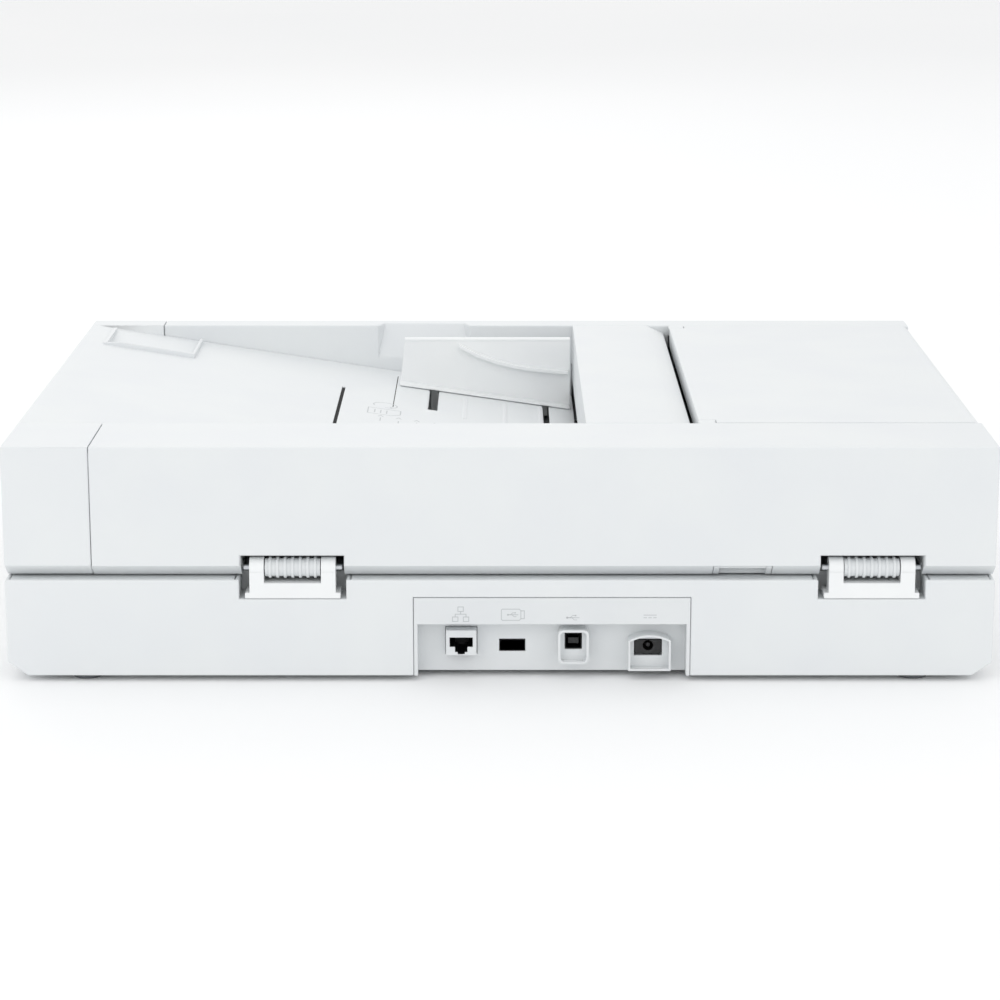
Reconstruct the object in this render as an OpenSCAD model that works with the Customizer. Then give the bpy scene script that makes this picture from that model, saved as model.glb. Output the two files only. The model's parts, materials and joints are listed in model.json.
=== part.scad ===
// Flatbed document scanner with a sheet feeder in its hinged lid.
// Frame: origin on the floor under the middle of the casing, +Z up, user's side at -Y,
// sockets and lid hinges at +Y, feeder mechanism at the -X end, paper tray at the +X end.

/* [Casing] */
// Overall width from end to end
body_w = 512; // [480:1:640]
// Overall depth from front to rear
body_d = 370; // [350:1:460]
// Height of the base casing
base_h = 51.5; // [50:0.5:64]
// Height of the closed lid
lid_h = 69.5; // [69.5:0.5:90]
// Shadow gap between base and lid
lid_gap = 1; // [0.8:0.1:1.4]
// Thickness of the casing walls
wall = 2.2; // [1.8:0.1:2.6]
// Height of the rubber feet
foot_h = 3; // [2:0.5:4]
// Diameter of the rubber feet
foot_d = 16; // [12:1:22]

/* [Paper] */
// Widest sheet the feeder takes
sheet_w = 216; // [180:1:220]
// Length of the platen glass
glass_l = 306; // [280:1:330]
// Travel of each paper guide
guide_travel = 62; // [30:1:64]

/* [Lid top] */
// Depth of the top strip at the rear
rear_strip = 59; // [55:1:64]
// Depth of the top strip at the front
front_strip = 17.3; // [14:0.1:22]
// Width of the end cap that closes the tray end
end_cap_w = 45; // [35:1:60]
// Length of the feeder cover
cover_l = 150.5; // [150:0.5:154]
// Length of the bridge between feeder cover and tray, finger groove included
bridge_l = 60; // [58:0.5:64]
// Height of the tray floor at the feed mouth, above the lid's underside
mouth_h = 24.7; // [24:0.1:27]

/* [Hinges] */
// Distance of the tray-side hinge from the tray end
hinge_a_inset = 148.7; // [140:0.1:160]
// Distance of the feeder-side hinge from the feeder end
hinge_b_inset = 63.7; // [60:0.1:75]
// Width of the hinge head
hinge_w = 44.5; // [40:0.5:48]
// Radius of the hinge knuckles
knuckle_r = 5.8; // [5.4:0.1:6]
// Diameter of the hinge pins
hinge_pin_d = 3; // [2.5:0.1:4]

/* [Feeder drive] */
// Radius of the feed drum
drum_r = 20; // [18:0.5:20]
// Diameter of the feeder shafts
shaft_d = 6; // [5:0.5:7]
// Module of the gears
gear_m = 1; // [0.9:0.05:1]

/* [Hidden] */
$fn = 48;

// Clearances
seam = 0.3;      // between fixed pieces that butt together
slip = 0.4;      // round pieces that slide
running = 0.05;  // radial, shaft in bore

// Levels
base_z = foot_h;
deck_z = base_z + base_h;
lid_z = deck_z + lid_gap;
top_z = lid_z + lid_h;
floor_z = base_z + wall;
hw = body_w / 2;
hd = body_d / 2;

// Underside chamfer at both ends of the base, and undercut at the lid's rear edge
end_chamfer_w = 10.5;
end_chamfer_h = 7.2;
undercut_d = 9;
undercut_h = 6.7;

// Top layout
recess_y = [-hd + front_strip, hd - rear_strip];
feed_y = (recess_y[0] + recess_y[1]) / 2;
cap_x = hw - end_cap_w;
cover_x = [-hw, -hw + cover_l];
mouth_x = cover_x[1] + bridge_l;
cover_y = [recess_y[0] + 2.7, recess_y[1] - 1];
half_sheet = sheet_w / 2;

// Tray floor: height at a given x, a shallow curve from the mouth up to the end cap's top
mouth_z = lid_z + mouth_h;
crest_x = hw - 5;
tray_t = 2.2;
function tray_z(x) =
    let (u = (x - mouth_x) / (crest_x - mouth_x))
    mouth_z + (top_z - mouth_z) * (0.92 * u + 0.08 * u * u);
function tray_line(x, drop, steps) =
    [for (i = [0:steps]) let (px = x[0] + (x[1] - x[0]) * i / steps) [px, tray_z(px) - drop]];
function at(place, span) = [for (s = span) place + s];
function reversed(list) = [for (i = [len(list) - 1:-1:0]) list[i]];

// Front of the lid: finger grip under the edge, and the window where scanned sheets are taken
grip_x = [-40, 40];
grip_d = 12;
grip_h = 9;
exit_window = [mouth_x + 106, cap_x - 14];

// Finger groove between feeder cover and bridge, and finger scoop in the front recess wall
groove_w = 11.2;
groove_deep = 5;
scoop_x = [mouth_x + 68.9, mouth_x + 117.3];
scoop_side = 4.7;
scoop_back = 8.3;
scoop_deep = 22.3;

// Finger pocket in the tray floor, near the end cap's front corner
finger_x = hw - 42;
finger_half = 26;
finger_y = [recess_y[0] + 5.7, recess_y[0] + 54.7];
finger_deep = 7;

// Feeder cover corners, set back beside the finger groove
corner_l = 9.7;
corner_w = 7.6;

// Recess walls run down this far below the top beside the feeder
recess_wall_h = 25;

// Lid frame and what stands on it
frame_t = 2.5;
frame_top = lid_z + 5.5;
frame_low = frame_top - frame_t;
frame_rear = hd - undercut_d - 4;

// Glass
glass_t = 3;
glass_top = deck_z - 0.8;
bezel_t = 4;
strip_w = 20;
strip_x = -hw + 41;
feeder_glass_x = [strip_x - strip_w / 2, strip_x + strip_w / 2];
glass_lip = 3;
platen_x = [strip_x + 38, strip_x + 38 + glass_l];
glass_y = [feed_y - half_sheet - 3, feed_y + half_sheet + 3];

// Hinges
hinge_xs = [hw - hinge_a_inset, -hw + hinge_b_inset];
pivot_y = hd - knuckle_r;
pivot_z = lid_z + 4.5;
pocket_w = hinge_w + 11;
pocket_d = 20;
lid_cut_w = hinge_w + 8.9;
lid_cut_z = pivot_z + 7.4;
seat_z = pivot_z - 15.7;
window_w = hinge_w - 14.9;
window_z = pivot_z - 7.2;
leaf_r = knuckle_r - 0.3;
leaf_t = 2.5;
screw_r = 3;   // heads of the case screws
screw_h = 1.8;
leaf_plate_y = [hd - 50, hd - 29];
post_w = 30;
post_t = 9.5;
post_y = [hd - wall - post_t - 0.6, hd - wall - 0.6];

// Cable cover in the undercut
cable_x = [-140.7, -110.5];

// Port panel
port_x = [-98.9, 44.9];
port_d = 10;
port_top = base_z + 42.1;
band_z = base_z + 27.7;
port_face_y = hd - port_d;
network_x = 20.2;
usb_host_x = -6.4;
usb_device_x = -38.2;
power_x = -77.8;

// Main board
board_z = base_z + 8.5;
board_t = 1.6;
board_top = board_z + board_t;
board_x = [port_x[0] + 2, port_x[1] - 2];
board_y = [hd - 75, hd - port_d - wall - 1];

// Scan drive: rod and belt run along x under the carriage
rod_d = 8;
rod_z = base_z + 17;
rod_x_span = [-hw + 10, platen_x[1] + 30];
carriage_w = 44;
carriage_x = strip_x;
sensor_z = [glass_top - glass_t - 13.3, glass_top - glass_t - 0.5];
tray_base_z = sensor_z[0] - 3;
belt_y = feed_y - 36;
belt_z = [base_z + 11, base_z + 17];
belt_pitch_r = 6;
belt_t = 1.2;
pulley_x = [-hw + 13, hw - 66];
motor_r = 17.5;

// Control panel on the front wall
panel_x = [80, 224];
panel_z = [base_z + 8, base_z + 44];
panel_face_y = -hd + 0.8;
window_x = [92, 158];
window_zs = [base_z + 12, base_z + 40];
button_count = 4;
button_r = 5.6;
button_z = (panel_z[0] + panel_z[1]) / 2;
function button_x(i) = window_x[1] + 11.5 + 15 * i;

// Feeder shafts: drum, exit, separation and pick, as [x, z]
drum = [-hw + 48, lid_z + 22.5];
exit_shaft = [-hw + 103.5, lid_z + 16.5];
sep = [-hw + 131, lid_z + 31.5];
pick = [sep[0] + 33, sep[1]];
entry_z = lid_z + 22.4;
sep_r = sep[1] - entry_z - 0.3;
retard_r = 6;
retard = [sep[0], entry_z - 0.1 - retard_r];
exit_r = 8;
shaft_r = shaft_d / 2;

// Gear teeth, and centres worked out from the meshing distances
drum_n = 38;
exit_n = 15;
lower_n = 30;
upper_n = 30;
sep_n = 24;
motor_n = 12;
function pitch_r(n) = gear_m * n / 2;
function toward(a, b) = atan2(b[1] - a[1], b[0] - a[0]);
// the point at distance ra from a and rb from b, on the left of the line from a to b
function meet(a, b, ra, rb) =
    let (d = norm(b - a), along = (ra * ra - rb * rb + d * d) / (2 * d),
         off = sqrt(ra * ra - along * along))
    a + along * (b - a) / d + off * [-(b - a)[1], (b - a)[0]] / d;
lower = meet(drum, exit_shaft, pitch_r(drum_n + lower_n), pitch_r(lower_n + exit_n));
upper = meet(lower, sep, pitch_r(lower_n + upper_n), pitch_r(upper_n + sep_n));
motor_angle = 110;
motor = lower + pitch_r(lower_n + motor_n) * [cos(motor_angle), sin(motor_angle)];
// tooth phase of gear b that meshes with gear a, whose phase is pa
function mesh(a, b, pa, na, nb) =
    let (t = toward(a, b)) t + 180 - (360 / nb) * (0.5 - (t - pa) * na / 360);
lower_phase = mesh(drum, lower, 0, drum_n, lower_n);
upper_phase = mesh(lower, upper, lower_phase, lower_n, upper_n);

// Feeder chassis plates and gear plane
plate_t = 3;
plate_front = [feed_y - half_sheet - 31, feed_y - half_sheet - 31 + plate_t];
plate_rear = [feed_y + half_sheet + 31 - plate_t, feed_y + half_sheet + 31];
gear_y = [plate_rear[1] + 8, plate_rear[1] + 14];
motor_plate_y = [gear_y[1] + 2, gear_y[1] + 3.6];

// Depth of the strip walls beside the feeder cover, short enough to clear the gears
strip_drop = 6.5;

// Feeder cover hinge
cover_t = 3;
cover_pin_d = 4;
barrel_r = 4.5;
cover_pivot = [-hw + barrel_r, top_z - barrel_r];

// Paper guides
guide_x = [mouth_x + 2.5, mouth_x + 104];
guide_t = 2.5;
guide_top = top_z - 0.8;
// the rear guide is lower, so that a hand reaches over it from the front
rear_guide_drop = 9;
slot_a = [mouth_x + 83, mouth_x + 88.5];
slot_b = [mouth_x + 15.7, mouth_x + 19.5];
slot_reach = [guide_t + 3, guide_travel + 3];
rack_z = [mouth_z - 8.7, mouth_z - 4.7];
pinion_x = mouth_x + 52.5;
pinion_n = 16;
crossbar_z = [rack_z[1], rack_z[1] + 2.6];
ceiling_z = rack_z[0] - 2.2;

// ---- shared shapes ----
module block(x, y, z)
    translate([x[0], y[0], z[0]]) cube([x[1] - x[0], y[1] - y[0], z[1] - z[0]]);

module along_x(x)
    translate([x[0], 0, 0]) rotate([90, 0, 90]) linear_extrude(x[1] - x[0]) children();

module along_y(y)
    translate([0, y[1], 0]) rotate([90, 0, 0]) linear_extrude(y[1] - y[0]) children();

module rod_x(x, y, z, r)
    translate([x[0], y, z]) rotate([0, 90, 0]) cylinder(h = x[1] - x[0], r = r);

module rod_y(y, p, r)
    translate([p[0], y[0], p[1]]) rotate([-90, 0, 0]) cylinder(h = y[1] - y[0], r = r);

module rod_z(z, x, y, r)
    translate([x, y, z[0]]) cylinder(h = z[1] - z[0], r = r);

module round_rect(w, h, r) {
    square([w - 2 * r, h], center = true);
    square([w, h - 2 * r], center = true);
    for (sx = [-1, 1], sz = [-1, 1])
        translate([sx * (w / 2 - r), sz * (h / 2 - r)]) circle(r = r);
}

// a toothed wheel outline with straight-sided teeth and some backlash
module gear_outline(n, phase) {
    r = pitch_r(n);
    root = r - 1.15 * gear_m;
    tip = r + 0.85 * gear_m;
    base_half = 48 / n;
    pitch_half = 38 / n * 1.06;
    tip_half = 20 / n;
    union() {
        circle(r = root);
        for (i = [0:n - 1]) rotate(phase + i * 360 / n)
            polygon([
                [root - 0.3, -root * sin(base_half * 1.3)], [r, -r * sin(pitch_half)],
                [tip, -tip * sin(tip_half)], [tip, tip * sin(tip_half)],
                [r, r * sin(pitch_half)], [root - 0.3, root * sin(base_half * 1.3)]
            ]);
    }
}

module gear(n, phase, p, y, bore_r)
    difference() {
        union() {
            along_y(y) translate(p) gear_outline(n, phase);
            rod_y([y[0] - 1, y[1] + 1], p, bore_r + 2);
        }
        rod_y([y[0] - 2, y[1] + 2], p, bore_r);
    }

// ---- base ----
module tub_section(inset)
    polygon([
        [-hw + inset, deck_z + inset], [-hw + inset, base_z + end_chamfer_h + 0.4 * inset],
        [-hw + end_chamfer_w + 0.6 * inset, base_z + inset],
        [hw - end_chamfer_w - 0.6 * inset, base_z + inset],
        [hw - inset, base_z + end_chamfer_h + 0.4 * inset], [hw - inset, deck_z + inset]
    ]);

module hinge_pocket(x) {
    inner = pocket_w / 2;
    difference() {
        block([x - inner - wall, x + inner + wall], [hd - pocket_d - wall, hd - wall + 0.1],
              [seat_z - wall, deck_z]);
        block([x - inner, x + inner], [hd - pocket_d, hd + 1], [seat_z, deck_z + 1]);
        post_hole(x);
    }
    difference() {
        block([x - post_w / 2 - slip - wall, x + post_w / 2 + slip + wall],
              [post_y[0] - slip - wall, hd - wall + 0.1], [floor_z - 0.1, seat_z - wall + 0.1]);
        post_hole(x);
    }
}

module post_hole(x)
    block([x - post_w / 2 - slip, x + post_w / 2 + slip], [post_y[0] - slip, post_y[1] + slip],
          [floor_z, seat_z + 1]);

module board_posts(r, z)
    for (x = [board_x[0] + 5, board_x[1] - 5], y = [board_y[0] + 5, board_y[1] - 30])
        rod_z(z, x, y, r);

module base_tub() color("whitesmoke") {
    difference() {
        union() {
            difference() {
                along_y([-hd, hd]) tub_section(0);
                along_y([-hd + wall, hd - wall]) tub_section(wall);
            }
            for (x = hinge_xs) hinge_pocket(x);
            board_posts(3.5, [floor_z - 0.1, board_z]);
            // rod holders
            for (x = rod_x_span)
                block([x - 6, x + 6], [feed_y - 9, feed_y + 9], [floor_z - 0.1, rod_z + 8]);
            // motor stands, either side of the pulley
            for (side = [-1, 1])
                block([pulley_x[1] - 6, pulley_x[1] + 6],
                      at(belt_y + side * 23, [-4, 4]), [floor_z - 0.1, belt_z[1] + 3]);
            // tensioner pad
            block(at(pulley_x[0], [-9, 9]), at(belt_y, [-9, 9]), [floor_z - 0.1, belt_z[0] - 3]);
            // ledges that carry the bezel
            for (x = [[-hw + wall - 0.1, -hw + wall + 4], [hw - wall - 4, hw - wall + 0.1]])
                block(x, [-hd + wall, hd - wall], [deck_z - bezel_t - 3, deck_z - bezel_t]);
            block([-hw + wall, hw - wall], [-hd + wall - 0.1, -hd + wall + 4],
                  [deck_z - bezel_t - 3, deck_z - bezel_t]);
        }
        for (x = hinge_xs)
            block([x - pocket_w / 2, x + pocket_w / 2], [hd - pocket_d, hd + 1], [seat_z, deck_z + 1]);
        // port panel opening, which runs out through the floor
        block(port_x, [hd - port_d - wall - seam, hd + 1], [base_z - 1, port_top]);
        // control panel opening
        block(panel_x, [-hd - 1, -hd + wall + 1], panel_z);
        for (x = rod_x_span) rod_x([x - 7, x + 7], feed_y, rod_z, rod_d / 2 + 0.02);
    }
}

module base_bezel() color("white") {
    edge = wall + seam;
    difference() {
        block([-hw + edge, hw - edge], [-hd + edge, hd - edge], [deck_z - bezel_t, deck_z]);
        glass_cut(platen_x);
        glass_cut(feeder_glass_x);
        for (x = hinge_xs)
            block(at(x, (pocket_w / 2 + wall + seam) * [-1, 1]),
                  [hd - pocket_d - wall - seam, hd], [deck_z - bezel_t - 1, deck_z + 1]);
    }
}

// stepped opening: the glass drops in from below and stops on a lip
module glass_cut(x) {
    edge = (glass_lip + seam) * [-1, 1];
    block(x, glass_y, [deck_z - bezel_t - 1, deck_z + 1]);
    block(x + edge, glass_y + edge, [deck_z - bezel_t - 1, glass_top + 0.02]);
}

module glass_sheet(x)
    block(x + glass_lip * [-1, 1], glass_y + glass_lip * [-1, 1], [glass_top - glass_t, glass_top]);

module platen_glass() color([0.75, 0.85, 0.85, 0.5]) glass_sheet(platen_x);

module feeder_glass() color([0.75, 0.85, 0.85, 0.5])
    glass_sheet(feeder_glass_x);

module port_panel() color("gainsboro") {
    x = port_x + [0.2, -0.2];
    side = 2;
    back_y = [port_face_y - wall, port_face_y];
    difference() {
        union() {
            block(x, [hd - wall, hd], [band_z, port_top - 0.2]);
            block(x, [back_y[0], hd], [band_z, band_z + 2]);
            block(x, back_y, [base_z, band_z + 1]);
            block([x[0], x[0] + side], [back_y[0], hd], [base_z, band_z + 1]);
            block([x[1] - side, x[1]], [back_y[0], hd], [base_z, band_z + 1]);
            collar(usb_device_x, 16, 18.3, 3);
            power_collar();
        }
        collar_cavity(usb_device_x, 13.4, 16, 2);
        block(at(usb_device_x, [-4.5, 4.5]), [back_y[0] - 1, hd], usb_device_z(4.4));
        power_cavity();
        block(at(power_x + 0.6, [-7.3, 7.3]), [back_y[0] - 1, hd - 6.5], [board_top - 1, base_z + 18.1]);
        block(at(network_x, [-8.3, 8.3]), [back_y[0] - 1, hd], [board_top - 1, base_z + 23.9]);
        block(at(usb_host_x, [-6.8, 6.8]), [back_y[0] - 1, hd], usb_host_z(3.3));
    }
}

function usb_device_z(half) = at(base_z + 17.4, [-half, half]);
function usb_host_z(half) = at(base_z + 13.8, [-half, half]);

module collar(x, w, h, r)
    along_y([port_face_y - 0.1, hd - 0.4])
        translate([x, base_z + 15.3]) round_rect(w, h, r);

module collar_cavity(x, w, h, r)
    along_y([hd - 5, hd]) translate([x, base_z + 15.3]) round_rect(w, h, r);

module power_outline(inset) {
    half = 11.1 - inset;
    intersection() {
        translate([-half, base_z + 2.3 + inset]) square([2 * half, 24]);
        translate([0, base_z + 0.8 - inset]) circle(r = 21);
    }
}

module power_collar()
    along_y([port_face_y - 0.1, hd - 0.4]) translate([power_x, 0]) power_outline(0);

module power_cavity()
    along_y([hd - 6.6, hd]) translate([power_x, 0]) power_outline(1.2);

module network_socket() color("silver")
    difference() {
        block(at(network_x, [-8, 8]), [port_face_y - 14, hd - 3.4], [board_top, base_z + 23.6]);
        block(at(network_x, [-6, 6]), [port_face_y - 12, hd], at(base_z, [14.6, 19.6]));
        block(at(network_x, [-3.2, 3.2]), [port_face_y - 12, hd], at(base_z, [11.8, 15]));
        block(at(network_x, [-1.8, 1.8]), [port_face_y - 12, hd], at(base_z, [10.6, 12]));
    }

module usb_host_socket() color("silver")
    difference() {
        union() {
            block(at(usb_host_x, [-6.5, 6.5]), [port_face_y - 14, port_face_y], usb_host_z(3));
            block(at(usb_host_x, [-5, 5]), [port_face_y - 14, port_face_y - wall - 0.3],
                  [board_top, base_z + 11]);
        }
        difference() {
            block(at(usb_host_x, [-6.2, 6.2]), [port_face_y - 12, hd], usb_host_z(2.6));
            block(at(usb_host_x, [-5.6, 5.6]), [port_face_y - 13, port_face_y - 1.5],
                  at(base_z, [14.4, 16.3]));
        }
    }

module usb_device_socket() color("dimgray")
    difference() {
        union() {
            block(at(usb_device_x, [-6, 6]), [port_face_y - 16, port_face_y - wall - 0.2],
                  [board_top, base_z + 23]);
            block(at(usb_device_x, [-4.3, 4.3]), [port_face_y - 4, hd - 5.2], usb_device_z(4.2));
        }
        difference() {
            block(at(usb_device_x, [-3.9, 3.9]), [port_face_y - 12, hd], usb_device_z(3.8));
            block(at(usb_device_x, [-2.8, 2.8]), [port_face_y - 13, hd - 7], at(base_z, [15.6, 18.8]));
        }
    }

module power_inlet() color("dimgray") {
    c = [power_x + 0.6, base_z + 14.6];
    difference() {
        block(at(c[0], [-7, 7]), [port_face_y - 12, hd - 6.8], [board_top, base_z + 17.8]);
        rod_y([port_face_y - 8, hd], c, 2.75);
    }
    rod_y([port_face_y - 9, hd - 8], c, 1);
}

module main_board() color("darkgreen") {
    difference() {
        block(board_x, board_y, [board_z, board_top]);
        board_posts(1.6, [board_z - 1, board_top + 1]);
    }
    chip(board_x[0] + 40, board_y[0] + 22, 24, 24, 2);
    chip(board_x[0] + 78, board_y[0] + 18, 18, 12, 1.6);
    chip(board_x[0] + 78, board_y[0] + 36, 14, 14, 1.6);
    chip(board_x[0] + 112, board_y[0] + 24, 16, 16, 1.6);
    chip(board_x[0] + 60, board_y[0] + 4, 30, 5, 6);
    chip(board_x[0] + 104, board_y[0] + 4, 22, 5, 6);
    for (i = [0:2]) rod_z([board_top - 0.1, board_top + 10], board_x[0] + 16 + 9 * i, board_y[0] + 34, 3.5);
}

module chip(x, y, w, d, h)
    block(at(x, [-w, w] / 2), at(y, [-d, d] / 2), [board_top - 0.1, board_top + h]);

module base_screws() color("dimgray")
    board_posts(screw_r, [board_top, board_top + screw_h]);

module rubber_feet() color("black")
    for (x = [-hw + 40, hw - 40], y = [-hd + 12, hd - 12])
        rod_z([0, base_z], x, y, foot_d / 2);

module guide_rod() color("silver")
    rod_x(rod_x_span + [-6, 6], feed_y, rod_z, rod_d / 2);

module scan_motor() color("gray") {
    x = pulley_x[1];
    flange_z = belt_z[1] + 3;
    difference() {
        union() {
            block(at(x, [-5.5, 5.5]), at(belt_y, [-27, 27]), [flange_z, flange_z + 1.2]);
            rod_z([flange_z, flange_z + 18], x, belt_y, motor_r);
        }
        rod_z([flange_z - 1, flange_z + 14], x, belt_y, 2.5 + running);
    }
}

module belt_loop(r) {
    for (x = pulley_x) translate([x, belt_y]) circle(r = r);
    translate([pulley_x[0], belt_y - r]) square([pulley_x[1] - pulley_x[0], 2 * r]);
}

module drive_belt() color("black")
    translate([0, 0, belt_z[0]]) linear_extrude(belt_z[1] - belt_z[0])
        difference() {
            belt_loop(belt_pitch_r + belt_t);
            belt_loop(belt_pitch_r + 0.1);
        }

module pulley(x, bore_r) {
    difference() {
        union() {
            rod_z(belt_z + [-0.4, 0.4], x, belt_y, belt_pitch_r);
            rod_z([belt_z[0] - 1.6, belt_z[0] - 0.4], x, belt_y, belt_pitch_r + 2);
            rod_z([belt_z[1] + 0.4, belt_z[1] + 1.6], x, belt_y, belt_pitch_r + 2);
        }
        if (bore_r > 0) rod_z([belt_z[0] - 2, belt_z[1] + 2], x, belt_y, bore_r);
    }
}

module motor_pulley() color("silver") {
    pulley(pulley_x[1], 0);
    rod_z([belt_z[1], belt_z[1] + 14], pulley_x[1], belt_y, 2.5);
}

module idler_pulley() color("ivory") pulley(pulley_x[0], 2 + running);

module belt_tensioner() color("silver") {
    z = belt_z[0] - 3;
    block(at(pulley_x[0], [-8, 8]), at(belt_y, [-8, 8]), [z, z + 1.2]);
    rod_z([z, belt_z[1] + 3], pulley_x[0], belt_y, 2);
}

module scan_carriage() color("dimgray") {
    x = carriage_x;
    y = glass_y + [-5, 5];
    difference() {
        union() {
            block(at(x, [-carriage_w, carriage_w] / 2), y, [tray_base_z, tray_base_z + 2.6]);
            for (side = [-1, 1])
                block(at(x + side * 12, [-1.2, 1.2]), y, [tray_base_z, tray_base_z + 10]);
            for (side = [0, 1])
                block(at(x, [-12, 12]), [y[side] - side * 2.4, y[side] + (1 - side) * 2.4],
                      [tray_base_z, tray_base_z + 10]);
            block(at(x, [-carriage_w, carriage_w] / 2), at(feed_y, [-8, 8]),
                  [rod_z - 6.5, tray_base_z + 1]);
            // belt clamp
            block(at(x, [-8, 8]), at(belt_y + belt_pitch_r, [-3.2, 4]), [belt_z[0] - 1, tray_base_z + 1]);
        }
        rod_x(at(x, [-carriage_w, carriage_w]), feed_y, rod_z, rod_d / 2 + running);
        block(at(x, [-9, 9]), at(belt_y + belt_pitch_r, [-0.3, belt_t + 0.4]),
              [belt_z[0] - 2, belt_z[1] + 0.4]);
    }
}

module image_sensor() color("black") {
    x = carriage_x;
    y = glass_y + [-1.5, 1.5];
    difference() {
        block(at(x, [-9.5, 9.5]), y, [sensor_z[0] + 0.1, sensor_z[1]]);
        block(at(x, [-2.5, 2.5]), y + [4, -4], [sensor_z[1] - 2.5, sensor_z[1] + 1]);
    }
}

module control_panel() color("gainsboro") {
    gap = 0.2;
    back = -hd + wall + 3;
    difference() {
        block(panel_x + [gap, -gap], [panel_face_y, -hd + wall + 0.8], panel_z + [gap, -gap]);
        block(window_x, [-hd - 1, -hd + wall - 0.2], window_zs);
        block(window_x + [2, -2], [-hd - 1, back + 1], window_zs + [2, -2]);
        for (i = [0:button_count - 1])
            rod_y([-hd - 1, back + 1], [button_x(i), button_z], button_r + 0.25);
    }
    // guide box behind the buttons, which the button stems stop against
    difference() {
        block([button_x(0) - 7.5, button_x(3) + 7.5], [-hd + wall + 0.7, -hd + wall + 9],
              at(button_z, [-8, 8]));
        for (i = [0:button_count - 1])
            rod_y([-hd, -hd + wall + 6.5], [button_x(i), button_z], button_r + 1.2);
    }
}

module display_window() color("black")
    block(window_x + [0.2, -0.2], [panel_face_y + 0.2, -hd + wall - 0.3], window_zs + [0.2, -0.2]);

module button(i, tone) color(tone) {
    rod_y([-hd, -hd + wall + 1.1], [button_x(i), button_z], button_r);
    rod_y([-hd + wall + 1.0, -hd + wall + 2], [button_x(i), button_z], button_r + 0.9);
}

module power_button() button(3, "white");
module scan_button() button(0, "steelblue");
module two_sided_button() button(1, "white");
module cancel_button() button(2, "white");

// ---- hinges ----
module hinge_post(x) color("white") {
    difference() {
        union() {
            for (side = [-1, 1])
                knuckle(x + side * (window_w + hinge_w) / 4, (hinge_w - window_w) / 2);
            block(at(x, [-hinge_w, hinge_w] / 2), [pivot_y - 6, hd - 0.3], [seat_z + 0.3, window_z]);
            block(at(x, [-hinge_w / 2 - 2.5, hinge_w / 2 + 2.5]), [pivot_y - 9, hd - 0.3],
                  [seat_z + 0.3, seat_z + 3.3]);
            block(at(x, [-post_w, post_w] / 2), post_y, [floor_z + 4, seat_z + 1]);
        }
        rod_x(at(x, [-hinge_w, hinge_w]), pivot_y, pivot_z, hinge_pin_d / 2 + running);
    }
}

module knuckle(x, w) {
    rod_x(at(x, [-w, w] / 2), pivot_y, pivot_z, knuckle_r - 0.3);
    block(at(x, [-w, w] / 2), [pivot_y - 6, hd - 0.3], [seat_z + 1, pivot_z - 1.5]);
}

module hinge_post_a() hinge_post(hinge_xs[0]);
module hinge_post_b() hinge_post(hinge_xs[1]);

module hinge_pins() color("silver")
    for (x = hinge_xs)
        rod_x(at(x, [-hinge_w / 2 - 3.5, hinge_w / 2 + 3.5]), pivot_y, pivot_z, hinge_pin_d / 2);

// leaf: a ribbed barrel in the post's window and an arm screwed to the lid frame
module hinge_leaf(x) color("gainsboro") {
    half = window_w / 2 - 0.5;
    arm_z = [lid_z + 0.7, lid_z + 5];
    plate_z = frame_top;
    difference() {
        union() {
            rod_x(at(x, [-half, half]), pivot_y, pivot_z, leaf_r - 0.8);
            for (i = [-3:3]) rod_x(at(x + 3.9 * i, [-0.7, 0.7]), pivot_y, pivot_z, leaf_r);
            block(at(x, [-half, half]), [hd - 34, pivot_y - 2], arm_z);
            block(at(x, [-half, half]), [hd - 34, hd - 29], [arm_z[0], plate_z + leaf_t]);
            block(at(x, [-22, 22]), leaf_plate_y, [plate_z, plate_z + leaf_t]);
        }
        rod_x(at(x, [-hinge_w, hinge_w]), pivot_y, pivot_z, hinge_pin_d / 2 + running);
    }
}

module hinge_leaf_a() hinge_leaf(hinge_xs[0]);
module hinge_leaf_b() hinge_leaf(hinge_xs[1]);

// ---- lid ----
module lid_frame() color("white") {
    edge = wall + seam;
    x = [-hw + edge, hw - edge];
    y = [-hd + edge, frame_rear];
    pad_x = platen_x + [-2, 2];
    pad_y = glass_y + [-2, 2];
    difference() {
        block(x, y, [lid_z, frame_top]);
        // hollow underside, with a rim all round and a border round the pad
        difference() {
            block(x + [6, -6], y + [6, -6], [lid_z - 1, frame_low]);
            block(pad_x + [-3, 3], pad_y + [-3, 3], [lid_z - 2, frame_low + 1]);
        }
        block(pad_x, pad_y, [lid_z - 1, frame_low]);
        // drum and exit roller windows
        block([drum[0] - 26, drum[0] + 24], glass_y + [-1, 1], [lid_z - 1, frame_top + 1]);
        block(at(drum[0], (pitch_r(drum_n) + 2) * [-1, 1]), gear_y + [-2, 2], [lid_z - 1, frame_top + 1]);
        // finger grip under the front edge
        block(grip_x + [-1, 1], [-hd, -hd + grip_d + 2], [lid_z - 1, frame_top + 1]);
        for (hx = hinge_xs)
            block(at(hx, [-lid_cut_w, lid_cut_w] / 2), [hd - 34.5, hd], [lid_z - 1, frame_top + 1]);
    }
}

module rear_section()
    polygon([
        [recess_y[1], top_z], [hd, top_z], [hd, lid_z + undercut_h], [hd - undercut_d, lid_z],
        [hd - undercut_d - 3.7, lid_z], [hd - wall, lid_z + undercut_h + 1.1],
        [hd - wall, top_z - wall], [recess_y[1], top_z - wall]
    ]);

module front_section()
    polygon([
        [-hd, top_z], [-hd, lid_z], [-hd + wall, lid_z], [-hd + wall, top_z - wall],
        [recess_y[0], top_z - wall], [recess_y[0], top_z]
    ]);

// end wall of the lid, up to a given height
module end_section(top)
    polygon([
        [-hd, top], [hd, top], [hd, lid_z + undercut_h], [hd - undercut_d, lid_z], [-hd, lid_z]
    ]);

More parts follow.
